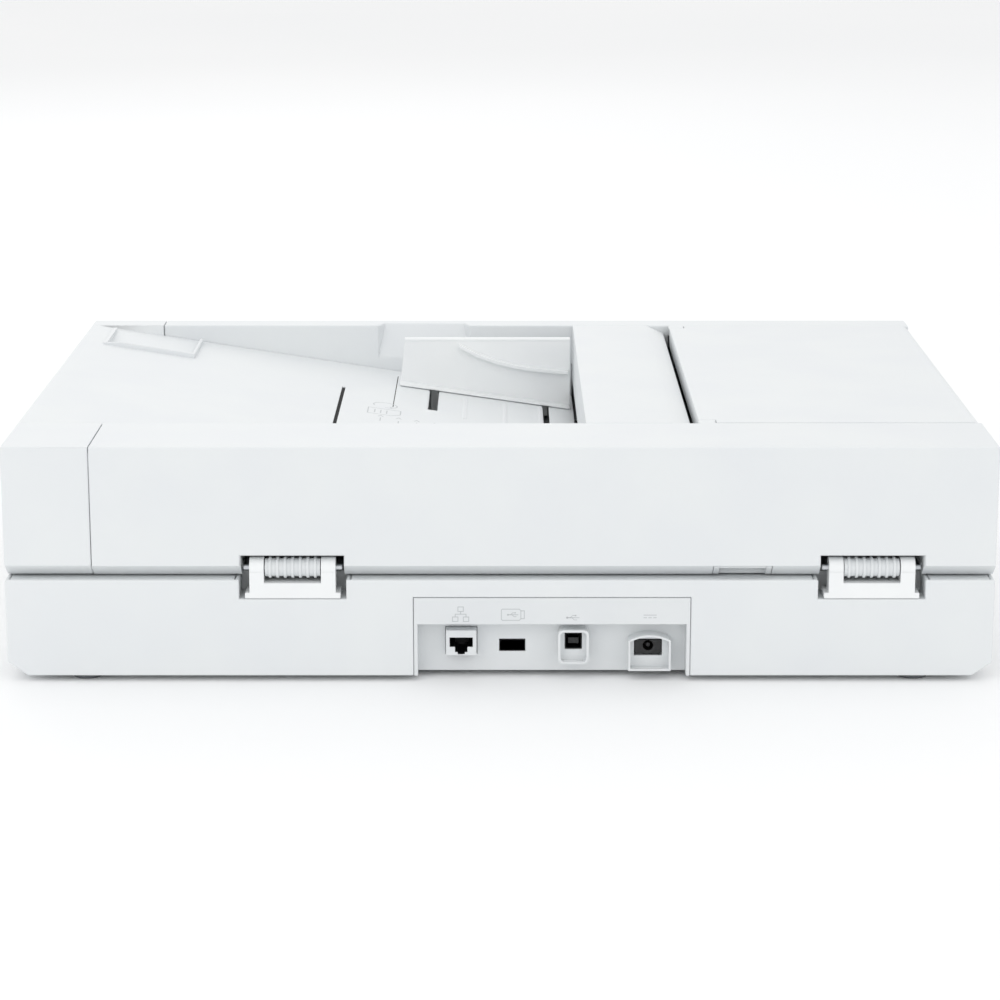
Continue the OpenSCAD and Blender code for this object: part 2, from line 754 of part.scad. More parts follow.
// wall of the recess: its lower edge runs a little under the tray floor
module recess_wall_outline(x, drop)
    polygon(concat(tray_line(x, drop, 8), [[x[1], top_z - 0.1], [x[0], top_z - 0.1]]));

module scoop_cut() {
    intersection() {
        along_x(scoop_x + [-9, 9])
            polygon([
                [recess_y[0] + 0.2, top_z - scoop_deep], [recess_y[0] - scoop_back, top_z + 0.01],
                [recess_y[0] - scoop_back, top_z + 1], [recess_y[0] + 0.2, top_z + 1]
            ]);
        translate([0, 0, top_z - 40]) linear_extrude(60)
            polygon([
                [scoop_x[0] - scoop_side, recess_y[0] + 0.2],
                [scoop_x[1] + scoop_side, recess_y[0] + 0.2],
                [scoop_x[1], recess_y[0] - scoop_back - 1], [scoop_x[0], recess_y[0] - scoop_back - 1]
            ]);
    }
}

module lid_cover() color("whitesmoke") {
    x = [-hw, cap_x - seam / 2];
    difference() {
        union() {
            along_x(x) rear_section();
            along_x(x) front_section();
            // feeder end wall, with the strips' ends
            along_x([-hw, -hw + wall]) end_section(top_z - 6);
            for (y = [[-hd, cover_y[0] - seam], [cover_y[1] + seam, hd]])
                block([-hw, -hw + wall], y, [top_z - 7, top_z]);
            // strips widen beside the feeder cover, and again at the finger groove
            block([-hw, cover_x[1]], [recess_y[0] - 1, cover_y[0] - seam], [top_z - wall, top_z]);
            block([-hw, cover_x[1]], [cover_y[1] + seam, recess_y[1] + 1], [top_z - wall, top_z]);
            for (y = [[cover_y[0] - 1, cover_y[0] + corner_w - seam],
                      [cover_y[1] - corner_w + seam, cover_y[1] + 1]])
                block([cover_x[1] - corner_l + seam, cover_x[1]], y, [top_z - wall, top_z]);
            // strip walls down beside the feeder cover
            for (y = [cover_y[0] - wall - seam, cover_y[1] + seam])
                block([-hw, cover_x[1]], [y, y + wall], [top_z - strip_drop, top_z]);
            // recess walls beside the tray
            along_y([recess_y[1], recess_y[1] + wall])
                polygon([
                    [cover_x[1], top_z - 0.1], [cover_x[1], top_z - recess_wall_h],
                    [mouth_x - 4, top_z - recess_wall_h], [mouth_x - 4, frame_top + seam],
                    [x[1], frame_top + seam], [x[1], top_z - 0.1]
                ]);
            along_y([recess_y[0] - wall, recess_y[0]])
                recess_wall_outline([mouth_x, x[1]], 13);
            block([cover_x[1], mouth_x], [recess_y[0] - wall, recess_y[0]],
                  [top_z - recess_wall_h, top_z - 1]);
            // slab behind the finger scoop
            along_x(scoop_x + [-7, 7])
                polygon([
                    [recess_y[0] - 0.1, top_z - 0.1], [recess_y[0] - scoop_back - 3, top_z - 0.1],
                    [recess_y[0] - 0.1, top_z - scoop_deep - 7]
                ]);
            // hinge pockets
            for (hx = hinge_xs) lid_pocket(hx);
            // roof and back of the grip at the front
            block(grip_x + [-5, 5], [-hd + 0.5, -hd + grip_d + wall], at(lid_z + grip_h, [0, wall]));
            block(grip_x + [-5, 5], at(-hd + grip_d, [0, wall]), [frame_top + seam, lid_z + grip_h + 1]);
        }
        for (hx = hinge_xs)
            block(at(hx, [-lid_cut_w, lid_cut_w] / 2), [hd - pocket_d, hd + 1], [lid_z - 1, lid_cut_z]);
        rod_y([cover_y[0] - seam, cover_y[1] + seam], cover_pivot, barrel_r + 0.3);
        rod_y([cover_y[0] - 8, cover_y[1] + 8], cover_pivot, cover_pin_d / 2 + 0.02);
        scoop_cut();
        // output window in the front wall
        along_y([-hd - 1, -hd + wall + 1])
            polygon(concat([[exit_window[1], frame_top + 2], [exit_window[0], frame_top + 2]],
                           tray_line(exit_window, 15, 6)));
        // grip for the fingers under the front edge
        block(grip_x, [-hd - 1, -hd + grip_d], [lid_z - 1, lid_z + grip_h]);
        // cable cover's gap in the undercut
        block(cable_x + seam * [-1, 1], [hd - 20, hd + 1], [lid_z - 1, lid_z + undercut_h - 0.4]);
    }
}

module lid_pocket(x) {
    half = lid_cut_w / 2;
    difference() {
        block(at(x, [-half - wall, half + wall]), [hd - pocket_d - wall, hd - wall + 0.1],
              [frame_top + 0.3, lid_cut_z + wall]);
        block(at(x, [-half, half]), [hd - pocket_d - wall - 1, hd], [lid_z - 1, lid_cut_z]);
    }
}

module cable_cover() color("gainsboro") {
    z = [lid_z, lid_z + undercut_h - 0.7];
    difference() {
        union() {
            block(cable_x, [frame_rear + 0.2, frame_rear + 2.4], z);
            for (x = [cable_x[0], cable_x[1] - 3])
                block([x, x + 3], [frame_rear + 0.2, hd - 2], z);
            block(cable_x, [frame_rear + 0.2, hd - 3], [z[1] - 1.4, z[1]]);
        }
        // the posts follow the undercut
        along_x(cable_x + [-1, 1])
            polygon([
                [hd + 1, z[0] - 1], [hd + 1, lid_z + undercut_h + 0.7], [hd - undercut_d - 1.3, z[0] - 1]
            ]);
    }
}

// finger pocket in the sloping tray floor, deepest away from the front
module finger_pocket(deep, grow) {
    slope = atan2(tray_z(finger_x + 20) - tray_z(finger_x - 20), 40);
    translate([finger_x, 0, tray_z(finger_x)]) rotate([0, -slope, 0])
        along_x((finger_half + grow) * [-1, 1])
            polygon([
                [finger_y[0], grow > 0 ? -0.5 : 0.01], [finger_y[0], 3],
                [finger_y[1] + grow, 3], [finger_y[1] + grow, -deep]
            ]);
}

module input_tray() color("whitesmoke") {
    y = recess_y + [seam, -seam];
    x = [mouth_x + 0.3, hw - wall + 0.1];
    difference() {
        union() {
            along_y(y)
                polygon(concat([[x[0], tray_z(x[0]) - tray_t]], tray_line([x[0], crest_x], 0, 12),
                               [[x[1], top_z], [x[1], top_z - tray_t]],
                               reversed(tray_line([x[0], crest_x], tray_t, 12))));
            // end cap
            along_x([cap_x + seam / 2, hw]) rear_section();
            along_x([cap_x + seam / 2, hw]) front_section();
            along_x([hw - wall, hw]) end_section(top_z);
            for (cap_y = [[recess_y[0] - wall, recess_y[0] + 1], [recess_y[1] - 1, recess_y[1] + wall]])
                along_y(cap_y) recess_wall_outline([cap_x + seam / 2, crest_x], 5);
            intersection() {
                finger_pocket(finger_deep + tray_t, tray_t);
                block([mouth_x, hw - wall], recess_y, [lid_z, top_z - 0.5]);
            }
            // pinion pin
            rod_z([rack_z[0] - 0.3, tray_z(pinion_x) - 1], pinion_x, feed_y, 2);
        }
        finger_pocket(finger_deep, 0);
        for (slot = [slot_a, slot_b], side = [-1, 1]) guide_slot(slot, side);
        // output slot for long sheets in the end wall
        block([hw - wall - 1, hw + 1], glass_y, [frame_top + 2, frame_top + 24]);
        // narrow moulded groove
        long_groove(mouth_x + 140, 2.2, [recess_y[0] + 74, recess_y[1] - 73]);
    }
}

module long_groove(x, w, y)
    block(at(x, [-w, w] / 2), y, [tray_z(x) - 1.2, top_z]);

module guide_slot(x, side) {
    near = feed_y + side * (half_sheet + slot_reach[0]);
    far = feed_y + side * (half_sheet - slot_reach[1]);
    block(x, [min(near, far), max(near, far)], [crossbar_z[1], top_z]);
}

module feed_bridge() color("whitesmoke") {
    x = [cover_x[1] + 3, mouth_x];
    panel_x0 = x[0] + groove_w;
    y = recess_y + [seam, -seam];
    along_y(y)
        polygon([
            [panel_x0, top_z], [mouth_x, top_z], [mouth_x, mouth_z + 9.5],
            [mouth_x - wall, mouth_z + 9.5], [mouth_x - wall, top_z - wall],
            [panel_x0 + 0.8, top_z - wall], [x[0] + wall, top_z - groove_deep - 1],
            [x[0] + wall, top_z - groove_deep - 9], [x[0], top_z - groove_deep - 9],
            [x[0], top_z - groove_deep]
        ]);
    // side tabs that rest on the chassis plates, inside the mouth
    for (side = [plate_front, plate_rear + [2, 0]])
        block([mouth_x - 16, mouth_x - wall + 0.1], side, [mouth_z + 12.5, top_z - wall + 0.1]);
}

module tray_underside() color("gainsboro")
    along_y([recess_y[0] + seam, recess_y[1] - seam])
        polygon(concat(
            [[mouth_x + 0.3, ceiling_z], [mouth_x + 0.3, ceiling_z + 1.6], [mouth_x + 90, ceiling_z + 1.6]],
            tray_line([mouth_x + 120, hw - 20], 9.5, 4),
            reversed(tray_line([mouth_x + 120, hw - 20], 11.1, 4)), [[mouth_x + 90, ceiling_z]]));

module pad_foam() color("lightgray")
    block(platen_x + [-1.5, 1.5], glass_y + [-1.5, 1.5], [deck_z + 0.3, frame_low]);

module pad_sheet() color("white")
    block(platen_x + [1.2, -1.2], glass_y + [1.2, -1.2], [glass_top + 0.3, deck_z + 0.3]);

module lid_screws() color("dimgray")
    for (x = hinge_xs, side = [-18, 18], y = [leaf_plate_y[0] + 5, leaf_plate_y[1] - 5])
        rod_z(at(frame_top + leaf_t, [0, screw_h]), x + side, y, screw_r);

// ---- feeder ----
module chassis_plate(y)
    difference() {
        along_y(y)
            polygon([
                [drum[0] - 26, frame_top + seam], [mouth_x - 3, frame_top + seam],
                [mouth_x - 3, mouth_z + 9.5], [sep[0] + 24, sep[1] + 9], [motor[0] + 12, motor[1] + 21],
                [motor[0] - 18, motor[1] + 21], [drum[0] - 26, drum[1] + 24]
            ]);
        rod_y(y + [-1, 1], drum, shaft_r + running);
        rod_y(y + [-1, 1], exit_shaft, shaft_r + running);
        rod_y(y + [-1, 1], sep, shaft_r + running);
    }

module feeder_chassis() color("dimgray") {
    y = [plate_front[1] - 0.1, plate_rear[0] + 0.1];
    retard_gap = [feed_y - 22, feed_y + 22];
    chassis_plate(plate_front);
    chassis_plate(plate_rear);
    // floor under the entering sheet, with a window for the retard roller
    difference() {
        block([sep[0] - 12, mouth_x - 2], y, [entry_z - 2.3, entry_z]);
        block(at(sep[0], [-8, 8]), retard_gap, [entry_z - 3, entry_z + 1]);
    }
    // guide that lifts the sheet over the drum
    along_y(y) polygon([
        [sep[0] - 11, entry_z - 1.6], [sep[0] - 11, entry_z], [drum[0] + 22, drum[1] + 17],
        [drum[0] + 22, drum[1] + 15.2]
    ]);
    // cheeks that hold the retard roller's pins
    for (cheek = [[retard_gap[0] - 3, retard_gap[0]], [retard_gap[1], retard_gap[1] + 3]])
        difference() {
            block(at(sep[0], [-9, 9]), cheek, [retard[1] - retard_r - 0.6, entry_z - 2.2]);
            rod_y(cheek + [-1, 1], retard, 2 + running);
        }
    // lower sheet guide toward the output tray
    block([exit_shaft[0] + 12, mouth_x - 12], y, [frame_top + 1.9, frame_top + 3.4]);
    // bracket that carries the motor and the idler pins behind the gears
    bracket_z = lid_cut_z + 2;
    bracket_y = [plate_rear[1] - 0.1, motor_plate_y[1]];
    difference() {
        union() {
            along_y(motor_plate_y) polygon([
                [exit_shaft[0] - 12, bracket_z], [upper[0] + 24, bracket_z], [upper[0] + 24, upper[1] + 8],
                [motor[0] + 8, motor[1] + 20], [motor[0] - 16, motor[1] + 20], [motor[0] - 16, drum[1] - 2]
            ]);
            block([upper[0] + 18, upper[0] + 23], bracket_y, [bracket_z, bracket_z + 2.6]);
            block([motor[0] - 14, motor[0] - 7], bracket_y, [motor[1] + 17, motor[1] + 19.6]);
            rod_y([plate_rear[1] - 0.1, motor_plate_y[0] + 0.1], lower, 2);
            rod_y([plate_rear[1] - 0.1, motor_plate_y[0] + 0.1], upper, 2);
        }
        rod_y(motor_plate_y + [-1, 1], motor, 4);
    }
}

module feeder_motor() color("silver")
    difference() {
        rod_y([motor_plate_y[1], motor_plate_y[1] + 26], motor, 15.5);
        rod_y([motor_plate_y[1] - 1, motor_plate_y[1] + 14], motor, 1.5 + running);
    }

module motor_gear() color("khaki") {
    gear(motor_n, mesh(lower, motor, lower_phase, lower_n, motor_n), motor, gear_y, 1.4);
    rod_y([gear_y[0] - 1, motor_plate_y[1] + 12], motor, 1.5);
}

module lower_idler_gear() color("ivory")
    gear(lower_n, lower_phase, lower, gear_y, 2 + running);

module upper_idler_gear() color("ivory")
    gear(upper_n, upper_phase, upper, gear_y, 2 + running);

module drum_gear() color("ivory") gear(drum_n, 0, drum, gear_y, shaft_r);

module exit_gear() color("ivory")
    gear(exit_n, mesh(lower, exit_shaft, lower_phase, lower_n, exit_n), exit_shaft, gear_y, shaft_r);

module separation_gear() color("ivory")
    gear(sep_n, mesh(upper, sep, upper_phase, upper_n, sep_n), sep, gear_y, shaft_r);

// shaft with evenly spaced tyres between y0 and y1
module roller(p, r, hub_r, tyres, tyre_w) {
    y0 = feed_y - half_sheet;
    pitch = sheet_w / tyres;
    rod_y([plate_front[0] + 0.3, gear_y[1] + 1], p, shaft_r);
    rod_y([y0, y0 + sheet_w], p, hub_r);
    for (i = [0:tyres - 1])
        rod_y(at(y0 + pitch * (i + 0.5), [-tyre_w, tyre_w] / 2), p, r);
}

module feed_drum() color("gray") roller(drum, drum_r, drum_r - 4, 6, 24);

module exit_roller() color("gray") roller(exit_shaft, exit_r, 4.2, 4, 20);

module separation_roller() color("gray") {
    rod_y([plate_front[0] + 0.3, gear_y[1] + 1], sep, shaft_r);
    rod_y(at(feed_y, [-18, 18]), sep, sep_r);
}

module retard_roller() color("gray") {
    rod_y(at(feed_y, [-24.7, 24.7]), retard, 2);
    rod_y(at(feed_y, [-18, 18]), retard, retard_r);
}

module pick_roller() color("gray") {
    rod_y(at(feed_y, [-24.8, 24.8]), pick, 2);
    rod_y(at(feed_y, [-18, 18]), pick, sep_r - 0.2);
}

module pick_arm() color("dimgray")
    difference() {
        union() {
            for (side = [-1, 1])
                along_y(at(feed_y + side * 23.5, [-1.5, 1.5])) {
                    translate(sep) circle(r = 6.5);
                    translate(pick) circle(r = 5);
                    translate([sep[0], sep[1] - 4]) square([pick[0] - sep[0], 9]);
                }
            block([sep[0] + 11, pick[0] - 11], at(feed_y, [-23, 23]), [sep[1] + 2, sep[1] + 5]);
        }
        rod_y(at(feed_y, [-30, 30]), sep, shaft_r + running);
        rod_y(at(feed_y, [-30, 30]), pick, 2 + running);
    }

module second_sensor() color("black")
    block([drum[0] + 27, drum[0] + 41], [plate_front[1] + 0.2, plate_rear[0] - 0.2],
          [frame_top + 4, frame_top + 15]);

module feeder_cover() color("whitesmoke") {
    x = cover_x + [0, -seam];
    y = cover_y;
    narrow = cover_x[1] - corner_l;
    under_z = drum[1] + drum_r + 6;
    difference() {
        union() {
            rod_y(y, cover_pivot, barrel_r);
            block([cover_pivot[0], narrow], y, [top_z - cover_t, top_z]);
            block([narrow - 1, x[1]], y + corner_w * [1, -1], [top_z - cover_t, top_z]);
            block([x[1] - 2, x[1]], y + corner_w * [1, -1], [top_z - 12, top_z]);
            // ribs that turn the sheet round the drum
            for (i = [0:6])
                along_y(at(feed_y - half_sheet + 6 + (sheet_w - 12) / 6 * i, [-1, 1]))
                    difference() {
                        translate([drum[0] - 28, under_z - 14])
                            square([50, top_z - cover_t + 0.1 - under_z + 14]);
                        translate(drum) circle(r = drum_r + 2);
                    }
        }
        rod_y([y[0] - 1, y[0] + 9], cover_pivot, cover_pin_d / 2 + running);
        rod_y([y[1] - 9, y[1] + 1], cover_pivot, cover_pin_d / 2 + running);
    }
}

module cover_hinge_pins() color("silver")
    for (y = [[cover_y[0] - 7, cover_y[0] + 8], [cover_y[1] - 8, cover_y[1] + 7]])
        rod_y(y, cover_pivot, cover_pin_d / 2);

// ---- paper guides ----
// side is -1 for the front guide and 1 for the rear one
module guide(side) {
    inner = half_sheet;
    x = guide_x;
    top = side > 0 ? guide_top - rear_guide_drop : guide_top;
    lift = side > 0 ? 0.6 : 1;
    mirror_y(side) {
        // wall, its rolled top edge and the foot that the sheets lie on
        along_y([inner, inner + guide_t])
            polygon(concat(
                tray_line([x[0], x[1] + 3], -0.5, 6), [[x[1], top - 1], [x[0], top - 1]]));
        rod_x(x, inner + guide_t / 2, top - 1.5, 1.5);
        along_y([inner - 9, inner + guide_t])
            polygon(concat(
                tray_line([x[0], x[1] + 3], -0.4, 6), reversed(tray_line([x[0], x[1] + 3], -1.6, 6))));
        // ledge that marks the highest stack
        along_y([inner - 4, inner + 0.1])
            polygon(concat(ledge_line(1.1, lift), reversed(ledge_line(-1.1, lift))));
        for (slot = [slot_a, slot_b])
            block(slot + [slip, -slip], [inner - 2, inner + guide_t],
                  [crossbar_z[0], tray_z(slot[0]) + 2]);
        block([slot_b[0] + slip, slot_a[1] - slip], [inner - 2, inner + guide_t], crossbar_z);
    }
    rack(side);
}

module mirror_y(side)
    translate([0, feed_y, 0]) mirror([0, side < 0 ? 1 : 0, 0]) children();

// centre line of the ledge: low at the mouth, rising away from it in a curve
function ledge_line(off, lift) =
    [for (i = [0:6]) let (u = i / 6)
        [guide_x[0] + 1 + 67 * u, mouth_z + lift * (22.6 + 5 * u + 11.5 * u * u * u) + off]];

// the front guide's rack passes the pinion on its +X side, the rear guide's on its -X side
module rack(side) {
    r = pitch_r(pinion_n);
    step = PI * gear_m;
    back_x = pinion_x - side * (r + 1.3 * gear_m);
    teeth = floor((guide_travel + 12) / step);
    y_far = -side * (6 + step);
    translate([0, feed_y, 0]) {
        block([min(back_x, back_x - side * 4), max(back_x, back_x - side * 4)],
              side > 0 ? [y_far, half_sheet] : [-half_sheet, y_far], rack_z);
        for (i = [0:teeth - 1])
            rack_tooth(side, side * (i - 2 + 0.5) * step, back_x);
    }
}

module rack_tooth(side, y, back_x)
    translate([0, 0, rack_z[0]]) linear_extrude(rack_z[1] - rack_z[0])
        polygon([
            [back_x - side * 0.2, y - 1.05 * gear_m], [back_x + side * 2.1 * gear_m, y - 0.35 * gear_m],
            [back_x + side * 2.1 * gear_m, y + 0.35 * gear_m], [back_x - side * 0.2, y + 1.05 * gear_m]
        ]);

module guide_front() color("white") guide(-1);
module guide_rear() color("white") guide(1);

module guide_pinion() color("ivory")
    translate([pinion_x, feed_y, rack_z[0]]) difference() {
        linear_extrude(rack_z[1] - rack_z[0]) gear_outline(pinion_n, 0);
        translate([0, 0, -1]) cylinder(h = rack_z[1] - rack_z[0] + 2, r = 2 + running);
    }

base_tub();
base_bezel();
platen_glass();
feeder_glass();
port_panel();
network_socket();
usb_host_socket();
usb_device_socket();
power_inlet();
main_board();
base_screws();
rubber_feet();
guide_rod();
scan_motor();
drive_belt();
belt_tensioner();
control_panel();
display_window();
motor_pulley();
idler_pulley();
scan_carriage();
image_sensor();
power_button();
scan_button();
two_sided_button();
cancel_button();
hinge_post_a();
hinge_post_b();
hinge_pins();
hinge_leaf_a();
hinge_leaf_b();
lid_frame();
lid_cover();
input_tray();
feed_bridge();
tray_underside();
cable_cover();
pad_foam();
pad_sheet();
lid_screws();
feeder_chassis();
feeder_motor();
second_sensor();
cover_hinge_pins();
guide_front();
guide_rear();
guide_pinion();
feeder_cover();
feed_drum();
drum_gear();
exit_roller();
exit_gear();
separation_roller();
separation_gear();
retard_roller();
pick_roller();
pick_arm();
motor_gear();
lower_idler_gear();
upper_idler_gear();
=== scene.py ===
"""Looks of a flatbed scanner with a sheet feeder in its lid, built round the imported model.

Laid out as a Blender add-on. One operator makes each piece or group of like pieces. Sizes are in
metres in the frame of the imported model: +Z up, the user's side at -Y, the tray end at +X.
"""
import json
import math

import bmesh
import bpy
from mathutils import Matrix, Vector


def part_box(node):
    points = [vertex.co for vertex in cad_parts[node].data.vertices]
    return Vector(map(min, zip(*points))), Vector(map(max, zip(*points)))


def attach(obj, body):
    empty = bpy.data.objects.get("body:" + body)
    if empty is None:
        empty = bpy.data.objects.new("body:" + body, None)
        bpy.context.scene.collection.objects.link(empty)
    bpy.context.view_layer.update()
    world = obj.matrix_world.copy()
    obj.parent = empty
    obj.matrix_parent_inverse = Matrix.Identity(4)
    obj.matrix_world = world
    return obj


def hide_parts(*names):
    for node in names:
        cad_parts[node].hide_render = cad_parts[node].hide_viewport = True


bl_info = {
    "name": "Flatbed scanner with sheet feeder",
    "version": (1, 0, 0),
    "blender": (4, 5, 0),
    "location": "View3D > Sidebar > Scanner",
    "description": "Makes the scanner's moulded casing, tray, sockets, hinges and finishes",
    "category": "Object",
}

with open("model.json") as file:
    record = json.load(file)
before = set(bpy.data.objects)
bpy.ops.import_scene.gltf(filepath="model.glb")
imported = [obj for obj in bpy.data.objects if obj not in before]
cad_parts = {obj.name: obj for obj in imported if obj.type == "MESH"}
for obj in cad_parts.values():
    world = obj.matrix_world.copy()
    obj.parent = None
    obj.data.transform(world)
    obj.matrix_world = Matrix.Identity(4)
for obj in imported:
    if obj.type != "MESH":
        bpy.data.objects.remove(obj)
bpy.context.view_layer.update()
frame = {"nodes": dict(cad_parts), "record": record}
MM = 0.001

BODY_OF = {n: b for b, ns in frame["record"]["behaviour"]["bodies"].items() for n in ns}


def span(node, axis):
    """Lowest and highest value of a node along an axis, in metres."""
    low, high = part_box(node)
    return low[axis], high[axis]


# Levels and edges that several pieces share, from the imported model's own boxes
DECK = span("base_bezel", 2)[1]
LID_TOP = span("lid_cover", 2)[1]
REAR = span("base_tub", 1)[1]
END = span("base_tub", 0)[1]
MOUTH_X = span("feed_bridge", 0)[1]
TRAY_Y = span("feed_bridge", 1)
TRAY_MID = sum(TRAY_Y) / 2
TRAY_CREST_X = END - 5 * MM
MOUTH_Z = DECK + 25.7 * MM

SMOOTH_ANGLE = 32  # edges flatter than this many degrees are shaded smooth
ROUND_ANGLE = 28  # outer edges sharper than this many degrees are rounded
PRINT_SINK = 0.02 * MM  # how far printed marks start below their surface


def tray_z(x):
    """Height of the tray floor at x: a shallow curve from the feed mouth to the end cap."""
    u = (x - MOUTH_X) / (TRAY_CREST_X - MOUTH_X)
    return MOUTH_Z + (LID_TOP - MOUTH_Z) * (0.92 * u + 0.08 * u * u)


# ---------------------------------------------------------------- finishes

def colour(code):
    """Linear RGBA of an sRGB hex value such as 'e9ebec'."""
    parts = [int(code[i:i + 2], 16) / 255 for i in (0, 2, 4)]
    return [c / 12.92 if c <= 0.04045 else ((c + 0.055) / 1.055) ** 2.4 for c in parts] + [1.0]


def add(tree, kind, inputs=None, **settings):
    """Adds a node. An input is a value, or an output socket that is linked to it."""
    node = tree.nodes.new(kind)
    for key, value in settings.items():
        setattr(node, key, value)
    for key, value in (inputs or {}).items():
        if isinstance(value, bpy.types.NodeSocket):
            tree.links.new(value, node.inputs[key])
        else:
            node.inputs[key].default_value = value
    return node


def finish(name, **surface):
    """A new material with its shader's own values set. Returns material, tree, shader, position."""
    material = bpy.data.materials.new(name)
    material.use_nodes = True
    tree = material.node_tree
    shader = tree.nodes["Principled BSDF"]
    for key, value in surface.items():
        shader.inputs[key.replace("_", " ")].default_value = value
    place = add(tree, "ShaderNodeTexCoord").outputs["Object"]
    return material, tree, shader, place


def mottled(tree, place, size, low, high, detail=2.0):
    """A colour that wanders between two hex values over patches of the given size."""
    noise = add(tree, "ShaderNodeTexNoise", {"Vector": place, "Scale": 1 / size, "Detail": detail})
    ramp = add(tree, "ShaderNodeValToRGB", {"Fac": noise.outputs["Fac"]})
    ramp.color_ramp.elements[0].position = 0.35
    ramp.color_ramp.elements[1].position = 0.65
    ramp.color_ramp.elements[0].color = colour(low)
    ramp.color_ramp.elements[1].color = colour(high)
    return ramp.outputs["Color"]


def grain(tree, shader, place, size, depth, roughness=None, detail=3.0):
    """Surface texture of the given grain size and depth, and roughness that wanders with it."""
    noise = add(tree, "ShaderNodeTexNoise", {"Vector": place, "Scale": 1 / size, "Detail": detail})
    bump = add(tree, "ShaderNodeBump",
               {"Height": noise.outputs["Fac"], "Distance": depth, "Strength": 0.6})
    tree.links.new(bump.outputs["Normal"], shader.inputs["Normal"])
    if roughness:
        spread = add(tree, "ShaderNodeMapRange",
                     {"Value": noise.outputs["Fac"], "From Min": 0.3, "From Max": 0.7,
                      "To Min": roughness[0], "To Max": roughness[1]})
        tree.links.new(spread.outputs["Result"], shader.inputs["Roughness"])


def mixed(tree, factor, one, two):
    """A blend of two colours by a factor that is linked in."""
    node = add(tree, "ShaderNodeMix", {"Factor": factor, "A": one, "B": two}, data_type="RGBA")
    return node.outputs["Result"]


def maths(tree, operation, one, two=0.0):
    """The result of one maths operation on values or output sockets."""
    return add(tree, "ShaderNodeMath", {0: one, 1: two}, operation=operation).outputs[0]


def moulded_plastic(name, low, high, size, depth, roughness, **surface):
    """Injection-moulded plastic: a fine spark-eroded texture that spreads its reflections."""
    material, tree, shader, place = finish(name, **surface)
    tree.links.new(mottled(tree, place, 45 * MM, low, high), shader.inputs["Base Color"])
    grain(tree, shader, place, size, depth, roughness)
    return material


def metal(name, low, high, size, depth, roughness, stretch):
    """Bare or plated metal. A stretch draws the grain out along the way it was rolled or turned."""
    material, tree, shader, place = finish(name, Metallic=1.0)
    drawn = add(tree, "ShaderNodeMapping", {"Vector": place, "Scale": stretch}).outputs["Vector"]
    tree.links.new(mottled(tree, drawn, size * 4, low, high), shader.inputs["Base Color"])
    grain(tree, shader, drawn, size, depth, roughness)
    return material


def roller_finish(name, node, shaft_r, hub_r):
    """One roller's finish by distance from its axis: ground steel, moulded hub, rubber tyre."""
    low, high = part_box(node)
    middle = (low + high) / 2
    material, tree, shader, place = finish(name)
    flat = add(tree, "ShaderNodeVectorMath",
               {0: place, 1: (middle.x, 0, middle.z)}, operation="SUBTRACT").outputs["Vector"]
    flat = add(tree, "ShaderNodeVectorMath", {0: flat, 1: (1, 0, 1)}, operation="MULTIPLY")
    radius = add(tree, "ShaderNodeVectorMath", {0: flat.outputs["Vector"]}, operation="LENGTH")
    past_shaft, past_hub = [maths(tree, "GREATER_THAN", radius.outputs["Value"], r)
                            for r in (shaft_r, hub_r)]
    hub = mixed(tree, past_shaft, colour("b9bcc0"), colour("8f9397"))
    tree.links.new(mixed(tree, past_hub, hub, colour("4b4e52")), shader.inputs["Base Color"])
    tree.links.new(maths(tree, "SUBTRACT", 1.0, past_shaft), shader.inputs["Metallic"])
    grain(tree, shader, place, 0.8 * MM, 0.03 * MM, (0.4, 0.62))
    return material


